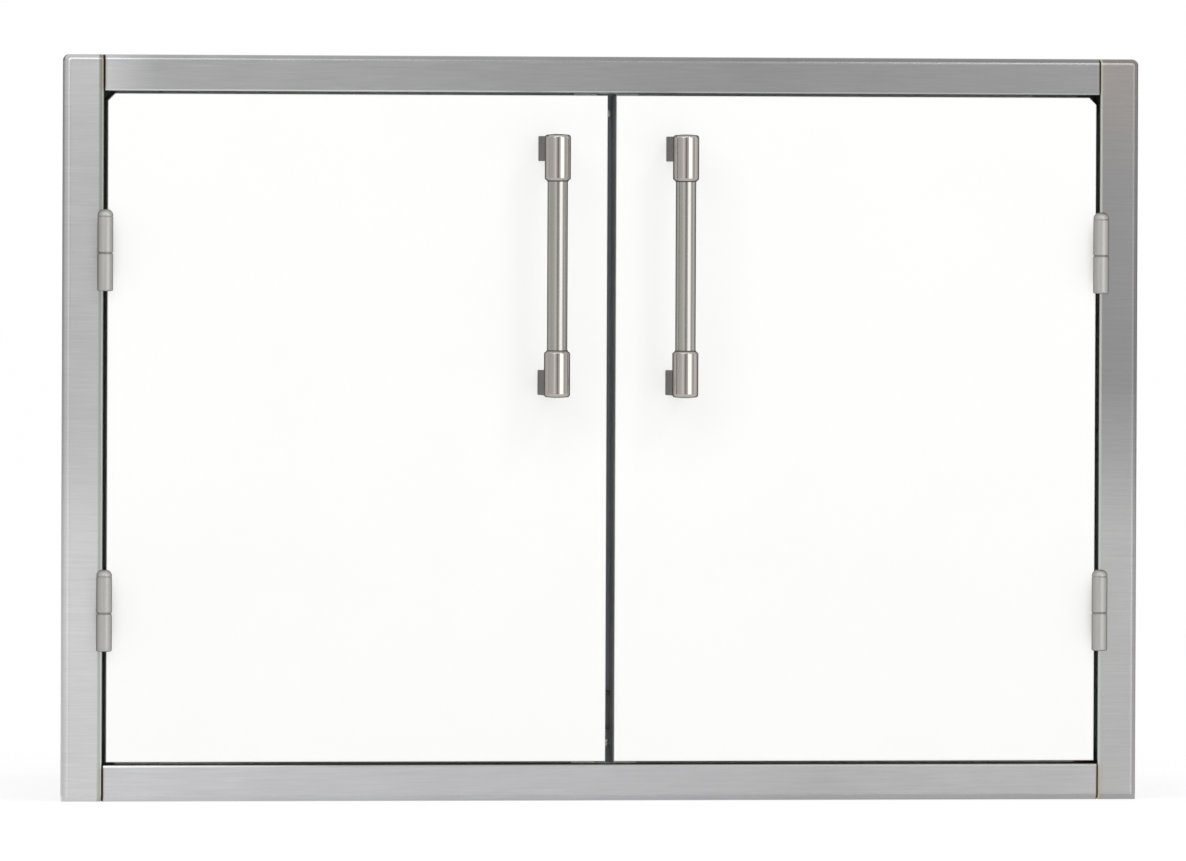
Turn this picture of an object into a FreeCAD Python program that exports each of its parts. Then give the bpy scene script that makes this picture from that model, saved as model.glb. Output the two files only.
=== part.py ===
"""Built-in outdoor pantry: two white doors in a raised stainless frame on a sealed dry-storage box.

Millimetres, +Z up. x = 0 is the middle of the frame. y = 0 is the wall plane that the frame's lip
closes on, with the doors facing -Y. z = 0 is the underside of the box, on the sill of the cut-out.
"""
import FreeCAD, Part
import os
import Sketcher

SIZES = {
    # Face frame, bent from sheet: a wall lip, an outer return, the front, an inner return, and behind
    # that a door stop on the rails and a wider jamb on the stiles, with a lap that the box's side is on
    "frame_width": 762.0,
    "frame_height": 520.7,
    "frame_depth": 11.0,
    "frame_sheet": 1.5,
    "outer_bend": 4.5,
    "inner_bend": 1.8,
    "stile_width": 28.0,
    "rail_height": 25.5,
    "wall_lip": 16.0,
    "stop_width": 18.0,
    "jamb_width": 43.0,
    "jamb_lap": 20.0,
    "seam_gap": 0.4,
    # Box behind the frame
    "box_depth": 500.0,
    "box_sheet": 1.2,
    "box_setback": 2.0,
    "fixing_hole": 5.5,
    "fixing_setback": 40.0,
    "fixing_spacing": 360.0,
    # Doors
    "door_thickness": 20.0,
    "face_sheet": 1.5,
    "pan_sheet": 1.0,
    "liner_sheet": 1.0,
    "side_gap": 2.6,
    "top_gap": 1.7,
    "bottom_gap": 2.1,
    "meeting_gap": 6.3,
    "meeting_offset": 5.3,
    "corner_cut": 5.0,
    "face_edge_radius": 1.0,
    "pan_lip": 27.0,
    "dish_inset": 45.0,
    "dish_depth": 2.5,
    "dish_radius": 12.0,
    "liner_screw_inset": 20.5,
    "liner_screw_margin": 60.0,
    "liner_screw": 3.5,
    "liner_screw_head": 7.0,
    "liner_screw_head_height": 1.8,
    "liner_screw_length": 7.0,
    # Door gaskets
    "seal_depth": 6.0,
    "seal_clearance": 0.3,
    "gasket_inset": 5.0,
    "gasket_width": 10.0,
    "gasket_base": 2.0,
    "gasket_bulb": 6.4,
    "gasket_round": 2.4,
    # Centre mullion, its strip and the catch
    "mullion_width": 46.0,
    "mullion_depth": 20.0,
    "strip_width": 13.0,
    "strip_sheet": 1.2,
    "strip_screw_inset": 14.0,
    "strip_screw_shift": 2.0,
    "strip_screw": 3.0,
    "strip_screw_head": 5.0,
    "strip_screw_head_height": 1.2,
    "strip_screw_length": 5.0,
    "catch_rise": 24.0,
    "catch_height": 27.0,
    "catch_clearance": 0.3,
    "magnet_width": 8.0,
    "magnet_height": 20.0,
    "magnet_depth": 2.5,
    # Barrel hinges
    "hinge_diameter": 11.0,
    "hinge_clearance": 0.3,
    "hinge_upper_length": 30.5,
    "hinge_lower_length": 26.5,
    "hinge_dome": 4.5,
    "hinge_groove": 0.5,
    "hinge_chamfer": 0.4,
    "hinge_foot": 1.2,
    "hinge_upper_rise": 122.0,
    "hinge_lower_drop": 129.0,
    "hinge_washer": 0.6,
    "hinge_play": 0.05,
    "hinge_pin": 6.0,
    "pin_reach": 19.0,
    "pin_clearance": 0.05,
    "tab_sheet": 1.0,
    "tab_reach": 17.0,
    "tab_margin": 3.0,
    # Bar handles
    "handle_length": 184.0,
    "handle_standoff": 42.0,
    "handle_inset": 42.2,
    "handle_rise": 114.2,
    "bar_diameter": 14.2,
    "bar_wall": 1.5,
    "bar_engagement": 19.0,
    "bar_clearance": 0.05,
    "ferrule_diameter": 18.2,
    "ferrule_length": 32.5,
    "ferrule_shoulder": 2.2,
    "ferrule_lip": 0.8,
    "ferrule_round": 2.0,
    "post_width": 14.0,
    "post_height": 17.5,
    "post_inset": 1.5,
    "post_bevel": 1.5,
    "handle_screw": 5.0,
    "handle_screw_head": 9.0,
    "handle_screw_head_height": 3.0,
    "handle_screw_grip": 14.0,
    "screw_hole_clearance": 0.2,
    # Shelf on clips in slotted standards
    "shelf_setback": 55.0,
    "shelf_depth": 400.0,
    "shelf_sheet": 1.2,
    "shelf_flange": 20.0,
    "shelf_hem": 12.0,
    "shelf_edge_radius": 2.0,
    "shelf_side_gap": 3.0,
    "shelf_slot": 8.0,
    "standard_width": 22.0,
    "standard_depth": 7.0,
    "standard_sheet": 1.2,
    "standard_inset": 60.0,
    "standard_margin": 6.0,
    "slot_pitch": 25.4,
    "slot_margin": 15.0,
    "slot_width": 10.0,
    "slot_height": 4.0,
    "clip_sheet": 2.0,
    "clip_side_gap": 0.5,
    "clip_ledge": 16.0,
    "clip_leg": 12.0,
    "clip_hook": 3.0,
    "clip_clearance": 0.1,
}

doc = FreeCAD.newDocument("outdoor_pantry")
sheet = doc.addObject("Spreadsheet::Sheet", "Sizes")
for row, (alias, size) in enumerate(SIZES.items(), 1):
    sheet.set(f"A{row}", alias)
    sheet.set(f"B{row}", str(size))
    sheet.setAlias(f"B{row}", alias)
doc.recompute()

# Planes that several pieces share, as expressions on the sheet
FRONT = "(-Sizes.frame_depth)"
INNER = "(Sizes.frame_width / 2 - Sizes.stile_width)"
OPENING_BOTTOM = "(Sizes.box_sheet + Sizes.frame_sheet)"
FRAME_BOTTOM = f"({OPENING_BOTTOM} - Sizes.rail_height)"
FRAME_MIDDLE = f"({FRAME_BOTTOM} + Sizes.frame_height / 2)"
OPENING_TOP = f"({FRAME_BOTTOM} + Sizes.frame_height - Sizes.rail_height)"
RETURN_OUTER = f"({INNER} + Sizes.frame_sheet)"
JAMB_INNER = f"({INNER} - Sizes.jamb_width)"
BOX_INNER = f"({JAMB_INNER} + Sizes.frame_sheet)"
BOX_CEILING = f"({OPENING_TOP} + Sizes.frame_sheet)"
BOX_TOP = f"({BOX_CEILING} + Sizes.box_sheet)"
BOX_BACK = "(Sizes.box_depth - Sizes.box_sheet)"
DOOR_BACK = f"({FRONT} + Sizes.door_thickness)"
STOP = f"({DOOR_BACK} + Sizes.seal_depth)"
STOP_BACK = f"({STOP} + Sizes.frame_sheet)"
STRIP_FRONT = f"({STOP} - Sizes.strip_sheet)"
HINGE_X = INNER
HINGE_OUT = "(Sizes.hinge_diameter / 2 + Sizes.hinge_clearance)"
HINGE_Y = f"({FRONT} - {HINGE_OUT})"
HINGE_UPPER = f"({FRAME_MIDDLE} + Sizes.hinge_upper_rise)"
HINGE_LOWER = f"({FRAME_MIDDLE} - Sizes.hinge_lower_drop)"
HANDLE_MIDDLE = f"({FRAME_MIDDLE} + Sizes.handle_rise)"
STANDARD_FACE = f"({BOX_INNER} - Sizes.standard_depth)"
STANDARD_FOOT = "(Sizes.box_sheet + Sizes.standard_margin)"
STANDARD_HEIGHT = f"({BOX_CEILING} - Sizes.standard_margin - {STANDARD_FOOT})"
STANDARD_FRONT = "(Sizes.shelf_setback + Sizes.standard_inset)"
STANDARD_REAR = "(Sizes.shelf_setback + Sizes.shelf_depth - Sizes.standard_inset)"
CLIP_MIDDLE = f"({STANDARD_FOOT} + Sizes.slot_margin + Sizes.shelf_slot * Sizes.slot_pitch)"
SHELF_FOOT = f"({CLIP_MIDDLE} + Sizes.clip_sheet / 2)"
SIDES = {"left": -1, "right": 1}
TOUCH = 1e-6

pieces = []


def value(expression):
    """The number that an expression on the sheet gives now."""
    return float(sheet.evalExpression(expression))


def keep(piece):
    """List a finished sub-part, to be written under its Label."""
    pieces.append(piece)
    return piece


def place(piece, x="0", y="0", z="0"):
    """Tie a piece's place to the sheet."""
    for axis, expression in zip("xyz", (x, y, z)):
        piece.setExpression(f"Placement.Base.{axis}", expression)


def block(label, x, y, z):
    """A flat panel or block between a low and a high expression along each axis."""
    piece = doc.addObject("Part::Box", label)
    for side, (low, high) in zip(("Length", "Width", "Height"), (x, y, z)):
        piece.setExpression(side, f"({high}) - ({low})")
    place(piece, x[0], y[0], z[0])
    return piece


def new_body(label, x="0", y="0", z="0"):
    """An empty body whose place is tied to the sheet."""
    body = doc.addObject("PartDesign::Body", label)
    place(body, x, y, z)
    return body


def origin_feature(body, role):
    """One of a body's own origin planes or axes."""
    return next(feature for feature in body.Origin.OriginFeatures if feature.Role == role)


def new_sketch(body, plane, offset="0"):
    """A sketch on an origin plane of a body, moved along the plane's normal."""
    sketch = body.newObject("Sketcher::SketchObject", f"{body.Name}_sketch")
    sketch.AttachmentSupport = [(origin_feature(body, plane), "")]
    sketch.MapMode = "FlatFace"
    sketch.setExpression("AttachmentOffset.Base.z", offset)
    return sketch


def tie_point(sketch, geometry, point, x, y):
    """Hold a sketch point at a place given by two expressions."""
    for kind, expression in (("DistanceX", x), ("DistanceY", y)):
        held = Sketcher.Constraint(kind, -1, 1, geometry, point, value(expression))
        sketch.setExpression(f"Constraints[{sketch.addConstraint(held)}]", expression)


def dome_arc(start, end):
    """The arc from start to end whose centre is on the sketch's upright axis."""
    (x0, y0), (x1, y1) = start, end
    middle = (x0 ** 2 - x1 ** 2 + y0 ** 2 - y1 ** 2) / (2 * (y0 - y1))
    centre = FreeCAD.Vector(0, middle, 0)
    first = FreeCAD.Vector(x0, y0, 0) - centre
    last = FreeCAD.Vector(x1, y1, 0) - centre
    circle = Part.Circle(centre, FreeCAD.Vector(0, 0, 1), first.Length)
    along = FreeCAD.Vector(1, 0, 0)
    return Part.ArcOfCircle(circle, first.getAngle(along), last.getAngle(along))


def outline(sketch, points, dome=None):
    """A closed outline through tied points; the run that starts at point number dome is an arc."""
    corners = [(value(x), value(y)) for x, y in points]
    first = len(sketch.Geometry)
    for i, start in enumerate(corners):
        end = corners[(i + 1) % len(corners)]
        if i == dome:
            sketch.addGeometry(dome_arc(start, end), False)
        else:
            sketch.addGeometry(Part.LineSegment(FreeCAD.Vector(*start, 0), FreeCAD.Vector(*end, 0)), False)
    for i, (x, y) in enumerate(points):
        following = (i + 1) % len(points)
        sketch.addConstraint(Sketcher.Constraint("Coincident", first + i, 2, first + following, 1))
        tie_point(sketch, first + i, 1, x, y)
    if dome is not None:
        sketch.addConstraint(Sketcher.Constraint("PointOnObject", first + dome, 3, -2))


def rectangle(sketch, x, y):
    """A rectangle between a low and a high expression each way."""
    outline(sketch, [(x[0], y[0]), (x[1], y[0]), (x[1], y[1]), (x[0], y[1])])


def bevelled(sketch, x, y, bevel):
    """A rectangle with its four corners cut off."""
    (left, right), (low, high) = x, y
    outline(sketch, [
        (f"{left} + {bevel}", low),
        (f"{right} - {bevel}", low),
        (right, f"{low} + {bevel}"),
        (right, f"{high} - {bevel}"),
        (f"{right} - {bevel}", high),
        (f"{left} + {bevel}", high),
        (left, f"{high} - {bevel}"),
        (left, f"{low} + {bevel}"),
    ])


def hole(sketch, x, y, diameter):
    """A circle of a tied size at a tied place."""
    centre = FreeCAD.Vector(value(x), value(y), 0)
    circle = Part.Circle(centre, FreeCAD.Vector(0, 0, 1), value(diameter) / 2)
    geometry = sketch.addGeometry(circle, False)
    tie_point(sketch, geometry, 3, x, y)
    size = Sketcher.Constraint("Diameter", geometry, value(diameter))
    sketch.setExpression(f"Constraints[{sketch.addConstraint(size)}]", diameter)


def pad(body, sketch, length, backwards=False):
    """Add the sketch's area along its normal, or backwards along it."""
    feature = body.newObject("PartDesign::Pad", f"{body.Name}_pad")
    feature.Profile = sketch
    feature.Reversed = backwards
    feature.setExpression("Length", length)
    return feature


def pocket(body, sketch, length, along=False):
    """Cut the sketch's area against its normal, or along it."""
    feature = body.newObject("PartDesign::Pocket", f"{body.Name}_pocket")
    feature.Profile = sketch
    feature.Reversed = along
    feature.setExpression("Length", length)
    return feature


def turned(body, sketch):
    """Turn the sketch's area about its upright axis."""
    feature = body.newObject("PartDesign::Revolution", f"{body.Name}_turned")
    feature.Profile = sketch
    feature.ReferenceAxis = (sketch, ["V_Axis"])
    feature.Angle = 360
    return feature


def lies_at(edge, **places):
    """Whether every end of an edge has the given coordinates."""
    return all(abs(getattr(corner.Point, axis) - at) < TOUCH
               for corner in edge.Vertexes for axis, at in places.items())


def fillet(body, feature, radius, wanted):
    """Round the edges of a feature that pass a test."""
    doc.recompute()
    names = [f"Edge{i}" for i, edge in enumerate(feature.Shape.Edges, 1) if wanted(edge)]
    rounded = body.newObject("PartDesign::Fillet", f"{body.Name}_fillet")
    rounded.Base = (feature, names)
    rounded.setExpression("Radius", radius)
    return rounded


def repeat(body, feature, runs):
    """Repeat a feature along one or two axes: each run is an axis, an overall length and a count."""
    doc.recompute()
    pattern = body.newObject("PartDesign::LinearPattern", f"{body.Name}_pattern")
    pattern.Originals = [feature]
    for suffix, (axis, length, count) in zip(("", "2"), runs):
        setattr(pattern, f"Direction{suffix}", (origin_feature(body, axis), [""]))
        pattern.setExpression(f"Length{suffix}", length)
        pattern.setExpression(f"Occurrences{suffix}", count)
    body.Tip = pattern
    return pattern


def mirrored(label, source, normal, x="0", z="0"):
    """A mirror image of a piece, across a plane through (x, 0, z)."""
    copy = doc.addObject("Part::Mirroring", label)
    copy.Source = source
    copy.Normal = FreeCAD.Vector(*normal)
    copy.setExpression("Base.x", x)
    copy.setExpression("Base.z", z)
    return copy


def group(label, members):
    """Separate solids of one kind, kept together in one sub-part."""
    compound = doc.addObject("Part::Compound", label)
    compound.Links = members
    return compound


def middle_run(centre, width):
    """Low and high expressions of a run of some width about a centre."""
    return f"{centre} - ({width}) / 2", f"{centre} + ({width}) / 2"


def make_stiles():
    """Full-height sides of the face frame: a closed-ended channel with the jamb behind it."""
    stile = new_body("right_stile", z=FRAME_BOTTOM)
    outer = "Sizes.frame_width / 2"
    channel = new_sketch(stile, "XY_Plane")
    outline(channel, [
        (outer, "0"),
        (outer, FRONT),
        (INNER, FRONT),
        (INNER, "0"),
        (RETURN_OUTER, "0"),
        (RETURN_OUTER, f"{FRONT} + Sizes.frame_sheet"),
        (f"{outer} - Sizes.frame_sheet", f"{FRONT} + Sizes.frame_sheet"),
        (f"{outer} - Sizes.frame_sheet", "-Sizes.frame_sheet"),
        (f"{outer} - Sizes.wall_lip", "-Sizes.frame_sheet"),
        (f"{outer} - Sizes.wall_lip", "0"),
    ])
    pad(stile, channel, "Sizes.frame_height")
    # Behind the wall plane the return and the jamb only run between the box's floor and ceiling
    jamb = new_sketch(stile, "XY_Plane", f"Sizes.box_sheet - {FRAME_BOTTOM}")
    outline(jamb, [
        (INNER, "0"),
        (INNER, STOP),
        (JAMB_INNER, STOP),
        (JAMB_INNER, f"{STOP} + Sizes.jamb_lap"),
        (BOX_INNER, f"{STOP} + Sizes.jamb_lap"),
        (BOX_INNER, STOP_BACK),
        (RETURN_OUTER, STOP_BACK),
        (RETURN_OUTER, "0"),
    ])
    pad(stile, jamb, f"{BOX_CEILING} - Sizes.box_sheet")
    for level in ("0", "Sizes.frame_height - Sizes.frame_sheet"):
        end = new_sketch(stile, "XY_Plane", level)
        rectangle(end, (INNER, outer), (FRONT, "0"))
        last = pad(stile, end, "Sizes.frame_sheet")
    sheet_edge = value("Sizes.frame_sheet")
    ends = (0, value("Sizes.frame_height"))
    hollow_ends = (ends[0] + sheet_edge, ends[1] - sheet_edge)

    def on_box(edge, x, y, levels):
        """Whether an edge is on two of three faces, an upright side, a front and the ends, and isn't at
        the foot's outer corner, which stays square."""
        front = lies_at(edge, y=y)
        side = lies_at(edge, x=x)
        end = any(lies_at(edge, z=level) for level in levels)
        return front + side + end == 2 and not (side and lies_at(edge, z=levels[0]))

    def hollow(edge):
        return on_box(edge, value(outer) - sheet_edge, value(FRONT) + sheet_edge, hollow_ends)

    def outside(edge):
        return on_box(edge, value(outer), value(FRONT), ends)

    def inside(edge):
        bent = all(abs(corner.Y - value(FRONT)) < TOUCH or min(abs(corner.Z - z) for z in ends) < TOUCH
                   for corner in edge.Vertexes)
        return bent and lies_at(edge, x=value(INNER))

    hollowed = fillet(stile, last, "Sizes.outer_bend - Sizes.frame_sheet", hollow)
    bent = fillet(stile, hollowed, "Sizes.outer_bend", outside)
    fillet(stile, bent, "Sizes.inner_bend", inside)
    keep(stile)
    keep(mirrored("left_stile", stile, (1, 0, 0)))


def make_rails():
    """Top and bottom of the face frame, butted between the stiles, notched for the mullion."""
    rail = new_body("bottom_rail")
    reach = f"({INNER} - Sizes.seam_gap)"
    back = f"({STOP} - Sizes.seam_gap)"
    under = f"({OPENING_BOTTOM} - Sizes.frame_sheet)"
    channel = new_sketch(rail, "YZ_Plane", f"-{reach}")
    outline(channel, [
        ("0", FRAME_BOTTOM),
        (FRONT, FRAME_BOTTOM),
        (FRONT, OPENING_BOTTOM),
        (back, OPENING_BOTTOM),
        (back, under),
        (f"{FRONT} + Sizes.frame_sheet", under),
        (f"{FRONT} + Sizes.frame_sheet", f"{FRAME_BOTTOM} + Sizes.frame_sheet"),
        ("-Sizes.frame_sheet", f"{FRAME_BOTTOM} + Sizes.frame_sheet"),
        ("-Sizes.frame_sheet", f"{FRAME_BOTTOM} + Sizes.wall_lip"),
        ("0", f"{FRAME_BOTTOM} + Sizes.wall_lip"),
    ])
    pad(rail, channel, f"2 * {reach}")
    # The stop is shorter: the stiles' jambs run past its ends
    stop_reach = f"({reach} - Sizes.jamb_width)"
    stop = new_sketch(rail, "YZ_Plane", f"-{stop_reach}")
    outline(stop, [
        (back, OPENING_BOTTOM),
        (STOP, OPENING_BOTTOM),
        (STOP, f"{OPENING_BOTTOM} + Sizes.stop_width"),
        (STOP_BACK, f"{OPENING_BOTTOM} + Sizes.stop_width"),
        (STOP_BACK, under),
        (back, under),
    ])
    pad(rail, stop, f"2 * {stop_reach}")
    notch = new_sketch(rail, "XZ_Plane", f"-{STOP}")
    rectangle(notch, middle_run("Sizes.meeting_offset", "Sizes.mullion_width + 2 * Sizes.seam_gap"),
              (OPENING_BOTTOM, f"{OPENING_BOTTOM} + 2 * Sizes.stop_width"))
    notched = pocket(rail, notch, "Sizes.frame_sheet")
    front = value(FRONT)
    bottom = value(FRAME_BOTTOM)
    sheet_edge = value("Sizes.frame_sheet")
    hollowed = fillet(rail, notched, "Sizes.outer_bend - Sizes.frame_sheet",
                      lambda edge: lies_at(edge, y=front + sheet_edge, z=bottom + sheet_edge))
    bent = fillet(rail, hollowed, "Sizes.outer_bend", lambda edge: lies_at(edge, y=front, z=bottom))
    fillet(rail, bent, "Sizes.inner_bend",
           lambda edge: lies_at(edge, y=front, z=value(OPENING_BOTTOM)))
    keep(rail)
    keep(mirrored("top_rail", rail, (0, 0, 1), z=FRAME_MIDDLE))


def make_box():
    """Five flat panels lapped round the rails' returns and the jambs, with fixing holes in the sides."""
    across = (f"-{BOX_INNER}", BOX_INNER)
    deep = ("Sizes.box_setback", BOX_BACK)
    keep(block("bottom_panel", across, deep, ("0", "Sizes.box_sheet")))
    keep(block("top_panel", across, deep, (BOX_CEILING, BOX_TOP)))
    outside = f"({BOX_INNER} + Sizes.box_sheet)"
    keep(block("back_panel", (f"-{outside}", outside), (BOX_BACK, "Sizes.box_depth"), ("0", BOX_TOP)))
    side = new_body("right_panel")
    shape = new_sketch(side, "YZ_Plane", BOX_INNER)
    rectangle(shape, (f"{STOP_BACK} + Sizes.seam_gap", BOX_BACK), ("0", BOX_TOP))
    for level in middle_run(FRAME_MIDDLE, "Sizes.fixing_spacing"):
        hole(shape, "Sizes.fixing_setback", level, "Sizes.fixing_hole")
    pad(side, shape, "Sizes.box_sheet")
    keep(side)
    keep(mirrored("left_panel", side, (1, 0, 0)))


def make_screws(label, place_of_first, toward_back, sizes, length, runs):
    """A row or grid of round-headed screws along Y; the head is on the side named by toward_back."""
    screws = new_body(label, *place_of_first)
    way = 1 if toward_back else -1
    shank = f"Sizes.{sizes} / 2"
    head = f"Sizes.{sizes}_head / 2"
    height = f"Sizes.{sizes}_head_height"
    tip = f"-{way} * ({length})"
    profile = new_sketch(screws, "XY_Plane")
    corners = [("0", tip), (shank, tip), (shank, "0"), (head, "0"), (head, f"{way} * {height} / 2"),
               ("0", f"{way} * {height}")]
    if toward_back:
        outline(profile, corners, dome=4)
    else:
        outline(profile, corners[::-1], dome=0)
    repeat(screws, turned(screws, profile), runs)
    return keep(screws)


def make_mullion():
    """Upright channel behind the meeting gap, its dark strip and screws, and the magnetic catch."""
    offset = "Sizes.meeting_offset"
    low, high = middle_run(offset, "Sizes.mullion_width")
    rear = f"{STOP} + Sizes.mullion_depth"
    mullion = new_body("centre_mullion")
    channel = new_sketch(mullion, "XY_Plane", OPENING_BOTTOM)
    outline(channel, [
        (low, STOP),
        (high, STOP),
        (high, rear),
        (f"{high} - Sizes.frame_sheet", rear),
        (f"{high} - Sizes.frame_sheet", STOP_BACK),
        (f"{low} + Sizes.frame_sheet", STOP_BACK),
        (f"{low} + Sizes.frame_sheet", rear),
        (low, rear),
    ])
    pad(mullion, channel, f"{OPENING_TOP} - {OPENING_BOTTOM}")
    line = f"({offset} + Sizes.strip_screw_shift)"
    first = f"({OPENING_BOTTOM} + Sizes.strip_screw_inset)"
    last = f"({OPENING_TOP} - Sizes.strip_screw_inset)"
    clear = "Sizes.strip_screw + 2 * Sizes.screw_hole_clearance"
    drilled = new_sketch(mullion, "XZ_Plane", f"-{STOP}")
    for level in (first, last):
        hole(drilled, line, level, clear)
    pocket(mullion, drilled, "Sizes.frame_sheet")
    keep(mullion)

    across = middle_run(offset, "Sizes.strip_width")
    strip = new_body("meeting_strip", y=STRIP_FRONT)
    shape = new_sketch(strip, "XZ_Plane")
    rectangle(shape, across, (f"{OPENING_BOTTOM} + Sizes.seam_gap", f"{OPENING_TOP} - Sizes.seam_gap"))
    for level in (first, last):
        hole(shape, line, level, clear)
    pad(strip, shape, "Sizes.strip_sheet", backwards=True)
    keep(strip)
    make_screws("strip_screws", (line, STRIP_FRONT, first), False, "strip_screw",
                "Sizes.strip_screw_length", [("Z_Axis", f"{last} - {first}", "2")])

    face = f"({DOOR_BACK} + Sizes.catch_clearance)"
    foot = f"({OPENING_BOTTOM} + Sizes.catch_rise)"
    catch = new_body("magnet_catch", y=face)
    case = new_sketch(catch, "XZ_Plane")
    rectangle(case, across, (foot, f"{foot} + Sizes.catch_height"))
    pad(catch, case, f"{STRIP_FRONT} - {face}", backwards=True)
    seat = new_sketch(catch, "XZ_Plane")
    inside = middle_run(offset, "Sizes.magnet_width")
    upright = middle_run(f"{foot} + Sizes.catch_height / 2", "Sizes.magnet_height")
    rectangle(seat, inside, upright)
    pocket(catch, seat, "Sizes.magnet_depth")
    keep(catch)
    keep(block("catch_magnet", inside, (face, f"{face} + Sizes.magnet_depth"), upright))


def make_tab(body, side, low, high, on_door):
    """The leaf that joins a hinge half, through the side gap, to the door's edge or to the stile."""
    way = -side
    near = "(Sizes.side_gap - Sizes.tab_sheet)" if on_door else "0"
    start = "(Sizes.hinge_pin + Sizes.hinge_diameter) / 4"
    end = f"{HINGE_OUT} + Sizes.tab_reach"
    leaf = new_sketch(body, "XY_Plane", low)
    rectangle(leaf, (f"{way} * {near}", f"{way} * ({near} + Sizes.tab_sheet)"), (start, end))
    pad(body, leaf, f"({high}) - ({low})")


def make_hinge(name, side, level):
    """A lift-off barrel hinge: the lower half with the frame, the domed upper half with the door."""
    radius = "Sizes.hinge_diameter / 2"
    bore = "(Sizes.hinge_pin / 2 + Sizes.pin_clearance)"
    bevel = "Sizes.hinge_chamfer"
    at = (f"{side} * {HINGE_X}", HINGE_Y, level)
    lower = new_body(f"{name}_hinge_lower", *at)
    seat = "-Sizes.hinge_washer / 2"
    foot = "-Sizes.hinge_lower_length"
    profile = new_sketch(lower, "XZ_Plane")
    outline(profile, [
        ("0", foot),
        (f"{radius} - Sizes.hinge_foot", foot),
        (radius, f"{foot} + Sizes.hinge_foot"),
        (radius, f"{seat} - {bevel}"),
        (f"{radius} - {bevel}", seat),
        (bore, seat),
        (bore, "-Sizes.pin_reach"),
        ("0", "-Sizes.pin_reach"),
    ])
    turned(lower, profile)
    make_tab(lower, side, f"{foot} + Sizes.tab_margin", f"{seat} - Sizes.tab_margin", on_door=False)
    keep(lower)

    upper = new_body(f"{name}_hinge_upper", *at)
    ledge = "(Sizes.hinge_washer / 2 + Sizes.hinge_play)"
    dome = "(Sizes.hinge_upper_length - Sizes.hinge_dome)"
    groove = "Sizes.hinge_groove"
    ceiling = "(Sizes.pin_reach + Sizes.hinge_play)"
    profile = new_sketch(upper, "XZ_Plane")
    outline(profile, [
        (bore, ledge),
        (f"{radius} - {bevel}", ledge),
        (radius, f"{ledge} + {bevel}"),
        (radius, f"{dome} - 2 * {groove}"),
        (f"{radius} - {groove}", f"{dome} - {groove}"),
        (radius, dome),
        ("0", "Sizes.hinge_upper_length"),
        ("0", ceiling),
        (bore, ceiling),
    ], dome=5)
    turned(upper, profile)
    make_tab(upper, side, f"{ledge} + Sizes.tab_margin", f"{dome} - Sizes.tab_margin", on_door=True)
    keep(upper)


def make_hinges():
    """Two hinges on each door, with their pins and washers."""
    for word, side in SIDES.items():
        make_hinge(f"{word}_upper", side, HINGE_UPPER)
        make_hinge(f"{word}_lower", side, HINGE_LOWER)
    grid = [("X_Axis", f"2 * {HINGE_X}", "2"), ("Z_Axis", f"{HINGE_UPPER} - {HINGE_LOWER}", "2")]
    at = (f"-{HINGE_X}", HINGE_Y, HINGE_LOWER)
    pins = new_body("hinge_pins", *at)
    shank = new_sketch(pins, "XY_Plane", "-Sizes.pin_reach")
    hole(shank, "0", "0", "Sizes.hinge_pin")
    repeat(pins, pad(pins, shank, "2 * Sizes.pin_reach"), grid)
    keep(pins)
    washers = new_body("hinge_washers", *at)
    ring = new_sketch(washers, "XY_Plane", "-Sizes.hinge_washer / 2")
    hole(ring, "0", "0", "Sizes.hinge_diameter - 2 * Sizes.hinge_chamfer")
    hole(ring, "0", "0", "Sizes.hinge_pin + 2 * Sizes.pin_clearance")
    repeat(washers, pad(washers, ring, "Sizes.hinge_washer"), grid)
    keep(washers)


def hinge_edge(side, inset="0"):
    """x of a door's hinge edge, or of a line further in."""
    return f"({side} * ({INNER} - Sizes.side_gap - ({inset})))"


def free_edge(side, inset="0"):
    """x of a door's free edge at the meeting gap, or of a line further in."""
    return f"(Sizes.meeting_offset + {side} * (Sizes.meeting_gap / 2 + ({inset})))"


def door_area(sketch, side, inset="0"):
    """A door's rectangle, or one further in."""
    low = f"{OPENING_BOTTOM} + Sizes.bottom_gap + ({inset})"
    high = f"{OPENING_TOP} - Sizes.top_gap - ({inset})"
    rectangle(sketch, (hinge_edge(side, inset), free_edge(side, inset)), (low, high))


def door_outline(sketch, side, inset="0"):
    """A door's outline with its clipped upper hinge corner, or one a wall further in."""
    low = f"{OPENING_BOTTOM} + Sizes.bottom_gap + ({inset})"
    high = f"{OPENING_TOP} - Sizes.top_gap - ({inset})"
    cut = f"(Sizes.corner_cut - (2 - sqrt(2)) * ({inset}))"
    outline(sketch, [
        (hinge_edge(side, inset), low),
        (free_edge(side, inset), low),
        (free_edge(side, inset), high),
        (hinge_edge(side, f"{inset} + {cut}"), high),
        (hinge_edge(side, inset), f"{high} - {cut}"),
    ])


def handle_x(side):
    """x of a handle's axis."""
    return free_edge(side, "Sizes.handle_inset")


def handle_screw_levels():
    """Heights of the two handle screws, at the middle of each post."""
    reach = "Sizes.handle_length / 2 - Sizes.post_inset - Sizes.post_height / 2"
    return f"({HANDLE_MIDDLE} - ({reach}))", f"({HANDLE_MIDDLE} + ({reach}))"


def handle_holes(sketch, side):
    """Clearance holes for the two handle screws."""
    for level in handle_screw_levels():
        hole(sketch, handle_x(side), level, "Sizes.handle_screw + 2 * Sizes.screw_hole_clearance")


def liner_screw_grid(side):
    """Columns and levels of a door's liner screws."""
    inset = "Sizes.liner_screw_inset"
    columns = sorted((hinge_edge(side, inset), free_edge(side, inset)), key=value)
    low = f"({OPENING_BOTTOM} + Sizes.bottom_gap + Sizes.liner_screw_margin)"
    high = f"({OPENING_TOP} - Sizes.top_gap - Sizes.liner_screw_margin)"
    return columns, (low, f"(({low} + {high}) / 2)", high)


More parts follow.
